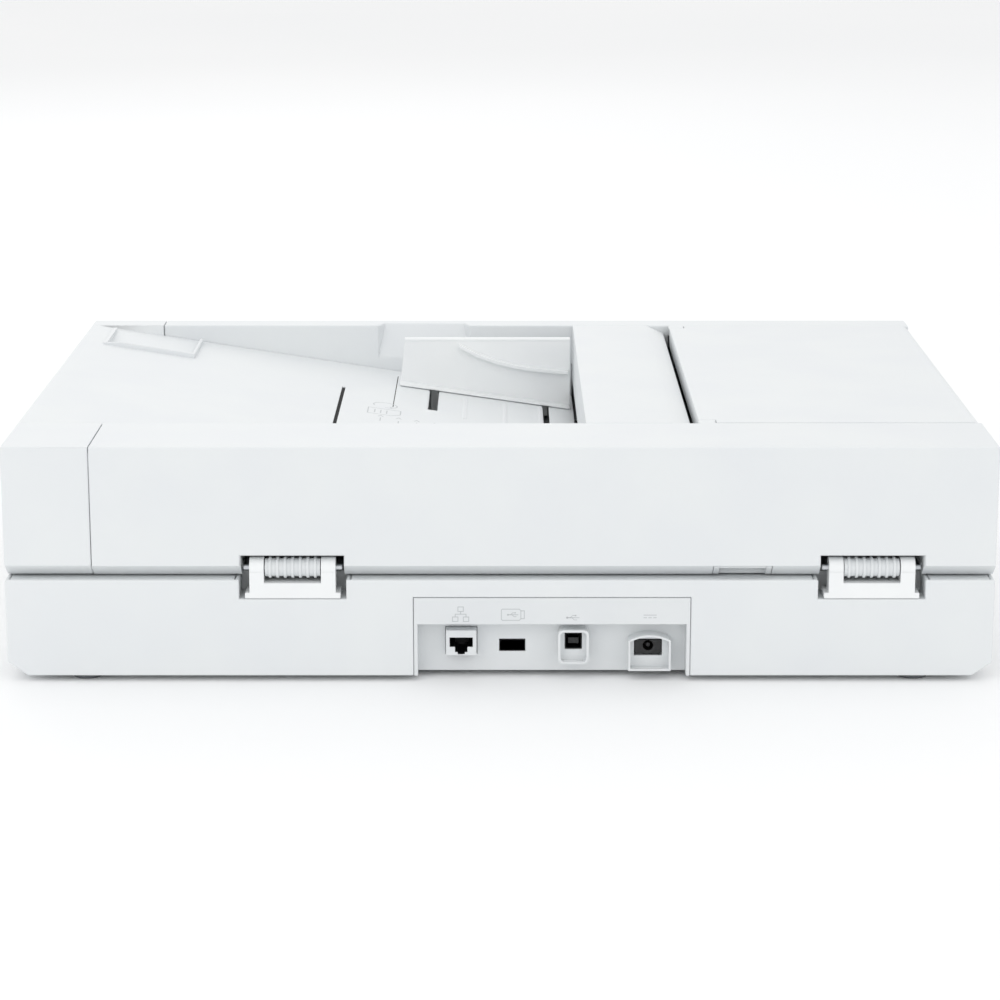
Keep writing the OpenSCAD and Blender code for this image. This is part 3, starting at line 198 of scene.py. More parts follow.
# Moulded finishes: material, darker and lighter colour, grain size and depth in mm, roughness
# from and to, and the shader's own values
PLASTICS = {
    # ABS, moulded in a spark-eroded tool: a cool near-white satin with soft wide highlights. Its
    # real 0.1 mm grain is drawn at 0.7 mm so that it shows at the object's size.
    "casing": ("ABS spark-eroded white", "e0e3e5", "e2e5e6", 0.7, 0.02, (0.42, 0.5),
               {"IOR": 1.53}),
    # The same ABS from a finer tool, for the tray's ribs: a little smoother, and a touch lighter in
    # colour as a painted highlight for the light that the rib tops catch.
    "tray": ("ABS fine-textured white", "e1e3e5", "e3e5e7", 0.5, 0.012, (0.38, 0.45),
             {"IOR": 1.53}),
    # ABS inserts beside the casing: a shade greyer, which shows them as separate pieces.
    "insert": ("ABS light grey insert", "dcdfe1", "dfe2e3", 0.6, 0.015, (0.4, 0.48),
               {"IOR": 1.53}),
    # Acetal-blend guides and hinge posts: smoother than the casing, so their lips catch the light.
    "guide": ("Acetal semi-gloss white", "eceeef", "f0f2f2", 0.9, 0.008, (0.28, 0.34),
              {"IOR": 1.48}),
    # Glass-filled ABS of the parts inside: dark grey and dull, with pale flow marks.
    "inner_plastic": ("Glass-filled ABS charcoal", "2c2f32", "383b3e", 0.6, 0.03, (0.5, 0.62),
                      {"IOR": 1.53}),
    # Socket bodies in nylon: near black and slightly silky.
    "socket_black": ("Nylon moulded black", "101113", "17181a", 0.4, 0.015, (0.36, 0.46),
                     {"IOR": 1.53}),
    # Buttons in ABS with a fine polish, so each stands out from the panel.
    "button": ("ABS polished grey-white", "d8dbdd", "dee0e2", 0.5, 0.006, (0.26, 0.32),
               {"IOR": 1.53}),
    # The start button: the same polished ABS in blue.
    "accent": ("ABS polished blue", "2f6fb0", "3577b8", 0.5, 0.006, (0.24, 0.3), {"IOR": 1.53}),
    # Acetal gears: translucent ivory that is waxy rather than shiny.
    "gear_plastic": ("Acetal moulded ivory", "e2ddcb", "ebe6d6", 0.7, 0.01, (0.34, 0.42),
                     {"IOR": 1.48, "Subsurface_Weight": 0.08, "Subsurface_Scale": 0.002}),
    # Thermoplastic rubber feet: mid grey and matt, a little dusty.
    "rubber": ("Thermoplastic rubber grey", "5c5f62", "6a6d70", 0.6, 0.05, (0.72, 0.85),
               {"IOR": 1.5}),
    # Moulded belt rubber: black with a faint bloom.
    "belt": ("Neoprene belt black", "17181a", "202224", 0.8, 0.05, (0.65, 0.8), {"IOR": 1.5}),
    # Pad-printed ink: flat and thin. Pale on the casing, darker on the panel and bezel.
    "ink": ("Pad-printed ink pale grey", "bec2c4", "c3c6c8", 0.5, 0.004, (0.5, 0.58),
            {"IOR": 1.5}),
    "ink_dark": ("Pad-printed ink mid grey", "74797d", "7d8286", 0.5, 0.004, (0.5, 0.58),
                 {"IOR": 1.5}),
    # Painted shade: a near-black strip low in the long slot stands in for the unlit inside of a
    # deep slot; the same dark colour draws the thin shut-line beside it.
    "slot_shade_and_seam": ("ABS unlit slot", "141516", "191a1c", 0.6, 0.02, (0.8, 0.9), {"IOR": 1.5}),
}
# Metals: the same, with the way that the grain is drawn out at the end
METALS = {
    # Zinc-plated steel: pale, faintly clouded, with drawn lines along pins and rods.
    "steel": ("Steel zinc-plated", "b9bdc1", "cfd2d5", 0.6, 0.006, (0.26, 0.36), (0.15, 1, 1)),
    # Gold flash on the contacts.
    "contact": ("Gold-flashed contacts", "c9a24e", "d8b564", 0.4, 0.003, (0.22, 0.3), (1, 1, 1)),
    # Motor cans: drawn steel with a yellow-grey passivated plating.
    "motor_can": ("Steel passivated can", "9c9d98", "b0b1ab", 0.8, 0.008, (0.34, 0.44),
                  (1, 1, 1)),
    # Turned aluminium pulley, with its tool marks running round it.
    "pulley": ("Aluminium turned", "c4c6c9", "d4d6d8", 0.5, 0.006, (0.24, 0.34), (1, 1, 6)),
}


def make_finishes():
    """Every finish of the object, by the name that the pieces use."""
    made = {}
    for key, (name, low, high, size, depth, roughness, values) in PLASTICS.items():
        made[key] = moulded_plastic(name, low, high, size * MM, depth * MM, roughness, **values)
    for key, (name, low, high, size, depth, roughness, stretch) in METALS.items():
        made[key] = metal(name, low, high, size * MM, depth * MM, roughness, stretch)
    made["jack"] = jack_finish()
    made["foam"] = foam_finish()
    made["pad_white"] = film_finish()
    made["glass"] = glass_finish()
    made["display"] = display_finish()
    made["board"] = board_finish()
    return made


def jack_finish():
    """The network socket: light ABS outside, black nylon where its cavity starts."""
    material, tree, shader, place = finish("ABS light grey, nylon-lined", Roughness=0.45, IOR=1.53)
    low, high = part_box("network_socket")
    parts = add(tree, "ShaderNodeSeparateXYZ", {"Vector": place})
    # the cavity's middle and half size across and up
    cavity = (("X", (low.x + high.x) / 2, 6.2 * MM), ("Z", high.z - 8.5 * MM, 5.2 * MM))
    inside = maths(tree, "LESS_THAN", parts.outputs["Y"], high.y - 0.5 * MM)
    for axis, centre, half in cavity:
        away = maths(tree, "ABSOLUTE", maths(tree, "SUBTRACT", parts.outputs[axis], centre))
        inside = maths(tree, "MULTIPLY", inside, maths(tree, "LESS_THAN", away, half))
    shell = mottled(tree, place, 30 * MM, "dcdfe1", "dfe2e3")
    tree.links.new(mixed(tree, inside, shell, colour("0f1012")), shader.inputs["Base Color"])
    grain(tree, shader, place, 0.5 * MM, 0.01 * MM)
    return material


def foam_finish():
    """Open-cell polyurethane foam: pale grey, with cells that show at its cut edge."""
    material, tree, shader, place = finish("Polyurethane foam pale grey", Roughness=0.95, IOR=1.5)
    tree.links.new(mottled(tree, place, 6 * MM, "b9bcbf", "c8cbcd", 4.0),
                   shader.inputs["Base Color"])
    cells = add(tree, "ShaderNodeTexVoronoi", {"Vector": place, "Scale": 1 / (1.4 * MM)})
    bump = add(tree, "ShaderNodeBump",
               {"Height": cells.outputs["Distance"], "Distance": 0.5 * MM, "Strength": 0.8})
    tree.links.new(bump.outputs["Normal"], shader.inputs["Normal"])
    return material


def film_finish():
    """White polyester film on the pad: even and satin, with a slight waviness over the foam."""
    material, tree, shader, place = finish("Polyester film white", IOR=1.58,
                                           Coat_Weight=0.15, Coat_Roughness=0.25)
    tree.links.new(mottled(tree, place, 90 * MM, "f0f1f1", "f4f5f5"), shader.inputs["Base Color"])
    grain(tree, shader, place, 28 * MM, 0.12 * MM, (0.3, 0.38), 1.0)
    return material


def glass_finish():
    """Float glass: clear with a faint green cast, and a trace of dust in its gloss."""
    material, tree, shader, place = finish("Float glass clear", IOR=1.52,
                                           Transmission_Weight=0.96)
    tree.links.new(mottled(tree, place, 70 * MM, "eaf4f0", "eef7f3"), shader.inputs["Base Color"])
    dust = add(tree, "ShaderNodeTexNoise", {"Vector": place, "Scale": 1 / (9 * MM), "Detail": 5.0})
    spread = add(tree, "ShaderNodeMapRange",
                 {"Value": dust.outputs["Fac"], "From Min": 0.4, "From Max": 0.8,
                  "To Min": 0.01, "To Max": 0.06})
    tree.links.new(spread.outputs["Result"], shader.inputs["Roughness"])
    return material


def display_finish():
    """Smoked acrylic over an unlit display: black, deep and glossy."""
    material, tree, shader, place = finish("Acrylic smoked black", IOR=1.49,
                                           Coat_Weight=0.6, Coat_Roughness=0.03)
    tree.links.new(mottled(tree, place, 30 * MM, "0b0c0e", "101215"), shader.inputs["Base Color"])
    grain(tree, shader, place, 12 * MM, 0.004 * MM, (0.05, 0.09), 2.0)
    return material


def board_finish():
    """Glass-epoxy circuit board: green solder mask with copper runs, black parts above it."""
    material, tree, shader, place = finish("Glass-epoxy board green", IOR=1.55)
    bricks = add(tree, "ShaderNodeTexBrick",
                 {"Vector": place, "Scale": 1 / (9 * MM), "Mortar Size": 0.06,
                  "Color1": colour("17583a"), "Color2": colour("1b6141"),
                  "Mortar": colour("2e8055")})
    height = add(tree, "ShaderNodeSeparateXYZ", {"Vector": place}).outputs["Z"]
    top = span("base_screws", 2)[0] + 0.15 * MM
    above = maths(tree, "GREATER_THAN", height, top)
    both = mixed(tree, above, bricks.outputs["Color"], colour("18191b"))
    tree.links.new(both, shader.inputs["Base Color"])
    grain(tree, shader, place, 0.7 * MM, 0.01 * MM, (0.25, 0.4))
    return material


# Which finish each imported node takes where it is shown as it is
NODE_FINISH = {
    "platen_glass": "glass", "feeder_glass": "glass", "main_board": "board",
    "guide_rod": "steel", "scan_motor": "motor_can", "feeder_motor": "motor_can",
    "drive_belt": "belt", "belt_tensioner": "steel", "motor_pulley": "pulley",
    "idler_pulley": "gear_plastic", "scan_carriage": "inner_plastic",
    "image_sensor": "socket_black", "second_sensor": "socket_black",
    "feeder_chassis": "inner_plastic", "tray_underside": "insert",
    "cover_hinge_pins": "steel", "guide_pinion": "gear_plastic", "drum_gear": "gear_plastic",
    "exit_gear": "gear_plastic", "separation_gear": "gear_plastic", "motor_gear": "gear_plastic",
    "lower_idler_gear": "gear_plastic", "upper_idler_gear": "gear_plastic",
    "pick_arm": "inner_plastic", "lid_frame": "insert",
}
FINISH = {}


def paint(obj, name):
    """Gives an object one finish."""
    obj.data.materials.clear()
    obj.data.materials.append(FINISH[name])


# ---------------------------------------------------------------- meshes

def link(name, mesh, finish_name=None):
    """Puts a mesh into the scene as a piece at the origin."""
    obj = bpy.data.objects.new(name, mesh)
    bpy.context.scene.collection.objects.link(obj)
    if finish_name:
        paint(obj, finish_name)
    return obj


def from_bmesh(name, bm, finish_name, sharp=SMOOTH_ANGLE):
    """Turns a bmesh into a piece with smooth shading between its sharp edges."""
    mesh = bpy.data.meshes.new(name)
    bm.to_mesh(mesh)
    bm.free()
    for face in mesh.polygons:
        face.use_smooth = True
    mesh.set_sharp_from_angle(angle=math.radians(sharp))
    return link(name, mesh, finish_name)


def weighted(obj):
    """Keeps flat faces flat beside their rounded edges, and leaves a plain mesh."""
    modifier = obj.modifiers.new("weighted normals", "WEIGHTED_NORMAL")
    modifier.keep_sharp = True
    modifier.weight = 90
    graph = bpy.context.evaluated_depsgraph_get()
    mesh = bpy.data.meshes.new_from_object(obj.evaluated_get(graph))
    old = obj.data
    obj.modifiers.clear()
    obj.data = mesh
    mesh.name = obj.name
    bpy.data.meshes.remove(old)
    return obj


def round_edges(bm, radius, segments=2, keep=None):
    """Rounds the outer edges that have room for it. keep(middle) can leave an edge sharp."""
    chosen = []
    for edge in bm.edges:
        if len(edge.link_faces) != 2 or edge.calc_face_angle_signed(0) < math.radians(ROUND_ANGLE):
            continue
        near = [e.calc_length() for v in edge.verts for e in v.link_edges]
        if min(near) < 2.1 * radius:
            continue
        middle = (edge.verts[0].co + edge.verts[1].co) / 2
        if keep and keep(middle):
            continue
        chosen.append(edge)
    if chosen:
        bmesh.ops.bevel(bm, geom=chosen, offset=radius, offset_type="OFFSET", segments=segments,
                        profile=0.5, affect="EDGES", clamp_overlap=False, loop_slide=True)


def node_mesh(node):
    """A node's own shape as clean joined faces."""
    bm = bmesh.new()
    bm.from_mesh(frame["nodes"][node].data)
    bmesh.ops.remove_doubles(bm, verts=bm.verts, dist=3e-6)
    bmesh.ops.dissolve_limit(bm, angle_limit=math.radians(0.5), verts=bm.verts, edges=bm.edges,
                             delimit={"NORMAL"})
    return bm


def stands_for(obj, *nodes):
    """The piece rides with, and takes the place of, these nodes."""
    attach(obj, BODY_OF[nodes[0]])
    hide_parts(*nodes)
    return obj


def rides_beside(obj, node):
    """A detail that moves with a node's body."""
    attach(obj, BODY_OF[node])
    return obj


def moulded(node, name, finish_name, radius, segments=2, keep=None, sharp=SMOOTH_ANGLE):
    """A node's shape with the small rounded edges that a moulding has."""
    bm = node_mesh(node)
    round_edges(bm, radius, segments, keep)
    return stands_for(weighted(from_bmesh(name, bm, finish_name, sharp)), node)


def ribbon(bm, path, width, place, height, closed=False):
    """A raised line of even width along a flat path. place(u, v, h) gives a point in space."""
    points = [Vector(p) for p in path]
    count = len(points)
    sides = []
    for i, point in enumerate(points):
        before = points[i - 1] if closed or i else None
        after = points[(i + 1) % count] if closed or i < count - 1 else None
        a = (point - before).normalized() if before is not None else None
        b = (after - point).normalized() if after is not None else None
        way = ((a or b) + (b or a)).normalized()
        normal = Vector((-way.y, way.x))
        lean = max(0.4, normal.dot(Vector((-(a or b).y, (a or b).x))))
        off = normal * width / 2 / lean
        sides.append((point + off, point - off))
    rings = []
    for left, right in sides:
        rings.append([bm.verts.new(place(p.x, p.y, h))
                      for p, h in ((left, 0), (left, height), (right, height), (right, 0))])
    last = count if closed else count - 1
    for i in range(last):
        one, two = rings[i], rings[(i + 1) % count]
        for k in range(4):
            bm.faces.new((one[k], one[(k + 1) % 4], two[(k + 1) % 4], two[k]))
    if not closed:
        bm.faces.new(rings[0][::-1])
        bm.faces.new(rings[-1])


def arc(centre, radius, start, stop, steps=16):
    """Points along an arc, in degrees."""
    return [(centre[0] + radius * math.cos(math.radians(start + (stop - start) * i / steps)),
             centre[1] + radius * math.sin(math.radians(start + (stop - start) * i / steps)))
            for i in range(steps + 1)]


def solid_shape(bm, outline, place, height):
    """A raised flat shape with the given outline."""
    low = [bm.verts.new(place(u, v, 0)) for u, v in outline]
    high = [bm.verts.new(place(u, v, height)) for u, v in outline]
    count = len(outline)
    bm.faces.new(low[::-1])
    bm.faces.new(high)
    for i in range(count):
        k = (i + 1) % count
        bm.faces.new((low[i], low[k], high[k], high[i]))


def marks(name, draw, finish_name):
    """A piece of raised lines and shapes, drawn by draw(bm)."""
    bm = bmesh.new()
    draw(bm)
    bmesh.ops.recalc_face_normals(bm, faces=bm.faces)
    return from_bmesh(name, bm, finish_name)


def box_into(bm, low, high):
    """Adds a box between two corners."""
    made = bmesh.ops.create_cube(bm, size=1.0)
    size = Vector(high) - Vector(low)
    middle = (Vector(high) + Vector(low)) / 2
    bmesh.ops.transform(bm, matrix=Matrix.Translation(middle) @ Matrix.Diagonal((*size, 1)),
                        verts=made["verts"])
    return made["verts"]


def lathe(bm, profile, centre, axis, steps=40):
    """Turns a (radius, height) profile about an axis through centre; both its ends are closed."""
    turn = Vector((0, 0, 1)).rotation_difference(Vector(axis)).to_matrix()
    rings = []
    for radius, height in profile:
        if radius <= 0:
            rings.append([bm.verts.new(Vector(centre) + turn @ Vector((0, 0, height)))])
            continue
        rings.append([
            bm.verts.new(Vector(centre) + turn @ Vector((
                radius * math.cos(2 * math.pi * i / steps),
                radius * math.sin(2 * math.pi * i / steps), height)))
            for i in range(steps)])
    for one, two in zip(rings, rings[1:]):
        for i in range(steps):
            k = (i + 1) % steps
            corners = [one[i % len(one)], one[k % len(one)], two[k % len(two)], two[i % len(two)]]
            corners = list(dict.fromkeys(corners))
            if len(corners) > 2:
                bm.faces.new(corners)
    for ring, way in ((rings[0], -1), (rings[-1], 1)):
        if len(ring) > 1:
            bm.faces.new(ring[::way])


# ---------------------------------------------------------------- repeated things

def row_tree():
    """Node tree: a straight row of copies of one item, as plain geometry with one finish."""
    if "row of items" in bpy.data.node_groups:
        return bpy.data.node_groups["row of items"]
    tree = bpy.data.node_groups.new("row of items", "GeometryNodeTree")
    for label, kind in (("Item", "NodeSocketObject"), ("Count", "NodeSocketInt"),
                        ("Start", "NodeSocketVector"), ("Step", "NodeSocketVector"),
                        ("Finish", "NodeSocketMaterial")):
        tree.interface.new_socket(label, in_out="INPUT", socket_type=kind)
    tree.interface.new_socket("Geometry", in_out="OUTPUT", socket_type="NodeSocketGeometry")
    given = add(tree, "NodeGroupInput").outputs
    line = add(tree, "GeometryNodeMeshLine",
               {"Count": given["Count"], "Start Location": given["Start"],
                "Offset": given["Step"]})
    item = add(tree, "GeometryNodeObjectInfo", {"Object": given["Item"]})
    copies = add(tree, "GeometryNodeInstanceOnPoints",
                 {"Points": line.outputs["Mesh"], "Instance": item.outputs["Geometry"]})
    plain = add(tree, "GeometryNodeRealizeInstances", {"Geometry": copies.outputs["Instances"]})
    painted = add(tree, "GeometryNodeSetMaterial",
                  {"Geometry": plain.outputs["Geometry"], "Material": given["Finish"]})
    add(tree, "NodeGroupOutput", {"Geometry": painted.outputs["Geometry"]})
    return tree


def row(name, item, start, step, count, finish_name):
    """A row of copies of a small bmesh, made by Geometry Nodes and turned into a plain piece."""
    single = from_bmesh(name + "_item", item, finish_name)
    holder = link(name, bpy.data.meshes.new(name))
    modifier = holder.modifiers.new("row", "NODES")
    modifier.node_group = row_tree()
    values = {"Item": single, "Count": count, "Start": Vector(start), "Step": Vector(step),
              "Finish": FINISH[finish_name]}
    for socket in modifier.node_group.interface.items_tree:
        if socket.in_out == "INPUT":
            modifier[socket.identifier] = values[socket.name]
    graph = bpy.context.evaluated_depsgraph_get()
    mesh = bpy.data.meshes.new_from_object(holder.evaluated_get(graph))
    holder.modifiers.clear()
    holder.data = mesh
    bpy.data.objects.remove(single)
    return holder


def joined(name, pieces):
    """Joins several pieces of one finish into one."""
    bm = bmesh.new()
    finish_used = pieces[0].data.materials[0]
    for piece in pieces:
        bm.from_mesh(piece.data)
        bpy.data.objects.remove(piece)
    mesh = bpy.data.meshes.new(name)
    bm.to_mesh(mesh)
    bm.free()
    mesh.materials.append(finish_used)
    mesh.set_sharp_from_angle(angle=math.radians(SMOOTH_ANGLE))
    return link(name, mesh)


# ---------------------------------------------------------------- settings

class ScannerSettings(bpy.types.PropertyGroup):
    """Sizes and colours that a user would change."""

    casing_round: bpy.props.FloatProperty(
        name="Casing edge radius", description="Rounding of the casing's outer edges",
        default=1.0 * MM, min=0.2 * MM, max=1.6 * MM, unit="LENGTH")
    detail_round: bpy.props.FloatProperty(
        name="Detail edge radius", description="Rounding of small mouldings, sockets and hinges",
        default=0.35 * MM, min=0.1 * MM, max=0.5 * MM, unit="LENGTH")
    print_height: bpy.props.FloatProperty(
        name="Print height", description="Thickness of the printed marks",
        default=0.06 * MM, min=0.02 * MM, max=0.2 * MM, unit="LENGTH")
    rib_height: bpy.props.FloatProperty(
        name="Tray rib height", description="How far the tray's ribs stand above its floor",
        default=0.3 * MM, min=0.1 * MM, max=0.35 * MM, unit="LENGTH")
    tick_pitch: bpy.props.FloatProperty(
        name="Ruler tick spacing", description="Distance between the platen ruler's ticks",
        default=10 * MM, min=5 * MM, max=25 * MM, unit="LENGTH")
    floor_colour: bpy.props.FloatVectorProperty(
        name="Floor colour", description="Colour of the floor it stands on",
        subtype="COLOR", size=4, min=0, max=1, default=colour("f4f5f6"))
    camera_distance: bpy.props.FloatProperty(
        name="Camera distance", description="Distance of the camera behind the middle",
        default=1.649, min=0.5, max=5, unit="LENGTH")


def settings():
    """The scene's scanner settings."""
    return bpy.context.scene.scanner


class SCANNER_OT_finishes(bpy.types.Operator):
    """Makes the finishes and paints the nodes that are shown as they are."""

    bl_idname = "scanner.finishes"
    bl_label = "Finishes"

    def execute(self, context):
        FINISH.update(make_finishes())
        # rollers, with the radii of their shaft and hub in mm
        for node, shaft, hub in (("feed_drum", 3.2, 18), ("exit_roller", 3.2, 6),
                                 ("separation_roller", 3.2, 4), ("retard_roller", 2.3, 3),
                                 ("pick_roller", 2.3, 3)):
            FINISH[node] = roller_finish("EPDM tyre on " + node, node, shaft * MM, hub * MM)
            paint(frame["nodes"][node], node)
        for node, name in NODE_FINISH.items():
            paint(frame["nodes"][node], name)
        return {"FINISHED"}


class SCANNER_OT_base(bpy.types.Operator):
    """Makes the base casing, its bezel and its rubber feet."""

    bl_idname = "scanner.base"
    bl_label = "Base casing"

    def execute(self, context):
        s = settings()
        moulded("base_tub", "base_casing", "casing", s.casing_round * 0.8, 3)
        moulded("base_bezel", "platen_bezel", "insert", s.detail_round)
        self.feet()
        self.rulers(s.tick_pitch, s.print_height)
        return {"FINISHED"}

    @staticmethod
    def feet():
        """Moulded feet with a rounded rim and a ring groove underneath."""
        low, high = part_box("rubber_feet")
        radius = 8 * MM
        bm = bmesh.new()
        profile = [(0, 0.5), (3.2, 0.5), (3.6, 0), (5.4, 0), (5.8, 0.5), (6.4, 0.5), (6.8, 0),
                   (7.4, 0), (7.9, 0.5), (8, 1.1), (8, high.z / MM)]
        for x in (low.x + radius, high.x - radius):
            for y in (low.y + radius, high.y - radius):
                lathe(bm, [(r * MM, z * MM) for r, z in profile], (x, y, 0), (0, 0, 1))
        bmesh.ops.recalc_face_normals(bm, faces=bm.faces)
        stands_for(from_bmesh("rubber_feet_moulded", bm, "rubber"), "rubber_feet")

    @staticmethod
    def rulers(pitch, height):
        """Ticks along the platen's rear and feeder-side edges, and a corner arrow."""
        glass_low, glass_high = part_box("platen_glass")
        edge = 3 * MM
        corner = Vector((glass_high.x - edge, glass_high.y - edge, DECK))
        tick = bmesh.new()
        box_into(tick, (-0.15 * MM, 0, 0), (0.15 * MM, 3 * MM, height))
        along = int((glass_high.x - glass_low.x - 4 * edge) / pitch)
        one = row("ticks_long", tick, corner + Vector((0, 2 * MM, 0)), (-pitch, 0, 0), along,
                  "ink_dark")
        tick = bmesh.new()
        box_into(tick, (0, -0.15 * MM, 0), (3 * MM, 0.15 * MM, height))
        across = int((glass_high.y - glass_low.y - 4 * edge) / pitch)
        two = row("ticks_short", tick, corner + Vector((2 * MM, 0, 0)), (0, -pitch, 0), across,
                  "ink_dark")
        rides_beside(joined("platen_ruler", [one, two]), "base_bezel")

        def arrow(bm):
            x, y = corner.x + 3 * MM, corner.y + 3 * MM
            solid_shape(bm, [(x, y), (x + 6 * MM, y + 2 * MM), (x + 2 * MM, y + 6 * MM)],
                        lambda u, v, h: Vector((u, v, DECK + h)), height)
        rides_beside(marks("corner_arrow", arrow, "ink_dark"), "base_bezel")


class SCANNER_OT_lid(bpy.types.Operator):
    """Makes the lid casing, the feeder's cover and bridge, and the cable cover."""

    bl_idname = "scanner.lid"
    bl_label = "Lid casing"

    def execute(self, context):
        s = settings()
        # the undercut along the lower rear edge stays crisp
        skirt = span("lid_cover", 2)[0] + 9 * MM
        moulded("lid_cover", "lid_casing", "casing", s.casing_round, 3,
                lambda middle: middle.z < skirt)
        moulded("feed_bridge", "feed_bridge_cover", "casing", s.casing_round * 0.7)
        moulded("feeder_cover", "feeder_lid", "casing", s.casing_round * 0.7)
        moulded("cable_cover", "hinge_cable_cover", "insert", s.detail_round)
        return {"FINISHED"}


class SCANNER_OT_tray(bpy.types.Operator):
    """Makes the paper tray with its ribs, slots and loading marks."""

    bl_idname = "scanner.tray"
    bl_label = "Paper tray"

    def execute(self, context):
        s = settings()
        moulded("input_tray", "paper_tray", "casing", s.casing_round * 0.8)
        self.ribs(s.rib_height)
        self.slots()
        self.loading_marks(s.print_height)
        return {"FINISHED"}

    @staticmethod
    def ribs(height):
        """Six low ribs with rounded tops, three on each side of the middle."""
        bm = bmesh.new()
        for x in (66.5, 42.5, 20.9):
            x = MOUTH_X + x * MM
            for side in (-1, 1):
                ends = sorted(TRAY_MID + side * y * MM for y in (30, 94.3))
                outline = [(-1.5, -0.2), (-1.2, 0.6), (-0.7, 1), (0.7, 1), (1.2, 0.6), (1.5, -0.2)]
                rings = [[bm.verts.new((x + u * MM, y, tray_z(x + u * MM) + v * height))
                          for u, v in outline] for y in ends]
                for k in range(len(outline)):
                    n = (k + 1) % len(outline)
                    bm.faces.new((rings[0][k], rings[0][n], rings[1][n], rings[1][k]))
                bm.faces.new(rings[0][::-1])
                bm.faces.new(rings[1])
        bmesh.ops.recalc_face_normals(bm, faces=bm.faces)
        # the ribs take a touch lighter colour than the tray, a painted highlight
        rides_beside(from_bmesh("tray_ribs", bm, "tray", 60), "input_tray")

    @staticmethod
    def slots():
        """Painted shade low in the long slot, a near-black strip for the unlit inside of a deep
        slot, and the thin dark shut-line beside it.
        """
        bm = bmesh.new()

        def place(u, v, h):
            return Vector((u, v, tray_z(u) + h))
        long_x, thin_x = MOUTH_X + 140 * MM, MOUTH_X + 109 * MM
        low, high = TRAY_Y[0] + 74 * MM, TRAY_Y[1] - 73 * MM
        # painted shade: a near-black strip about 1 mm down in the long slot's groove
        ribbon(bm, [(long_x, low), (long_x, high)], 2.1 * MM,
               lambda u, v, h: place(u, v, h - 1.1 * MM), 0.4 * MM)
        # the thin shut-line: a dark line drawn just above the tray
        ribbon(bm, [(thin_x, TRAY_Y[0] + 18 * MM), (thin_x, TRAY_Y[0] + 112 * MM)], 0.5 * MM,
               lambda u, v, h: place(u, v, h - 0.1 * MM), 0.12 * MM)
        bmesh.ops.recalc_face_normals(bm, faces=bm.faces)
        rides_beside(from_bmesh("tray_slot_bottoms", bm, "slot_shade_and_seam"), "input_tray")

    @staticmethod
    def loading_marks(height):
        """A page with a turning arrow, and short marks that show where sheets of each width lie."""

        def draw(bm):
            def place(u, v, h):
                x = MOUTH_X + (123 - v) * MM
                return Vector((x, TRAY_Y[0] + (137 - u) * MM, tray_z(x) + h))

            def stroke(path, closed=False):
                ribbon(bm, path, 0.7, place, height, closed)
            stroke([(0, 0), (16, 0), (16, 19), (5, 19), (0, 14)], True)
            for v in (4, 7.5, 11):
                stroke([(3.5, v), (12.5, v)])
            stroke(arc((27, 9.5), 7, 150, -120, 20))
            stroke([(20.3, 9.6), (20.6, 13.4), (24.4, 12.7)])
            for i, length in enumerate((9, 6, 9, 6)):
                stroke([(-18, 8 + 10.5 * i), (-18 + length, 8 + 10.5 * i)])
                stroke([(-6, 6.5 + 10.5 * i), (-3, 8 + 10.5 * i), (-6, 9.5 + 10.5 * i)])
        rides_beside(marks("tray_marks", draw, "ink"), "input_tray")


class SCANNER_OT_guides(bpy.types.Operator):
    """Makes the two paper guides."""

    bl_idname = "scanner.guides"
    bl_label = "Paper guides"

    def execute(self, context):
        radius = settings().detail_round
        moulded("guide_front", "paper_guide_front", "guide", radius)
        moulded("guide_rear", "paper_guide_rear", "guide", radius)
        return {"FINISHED"}


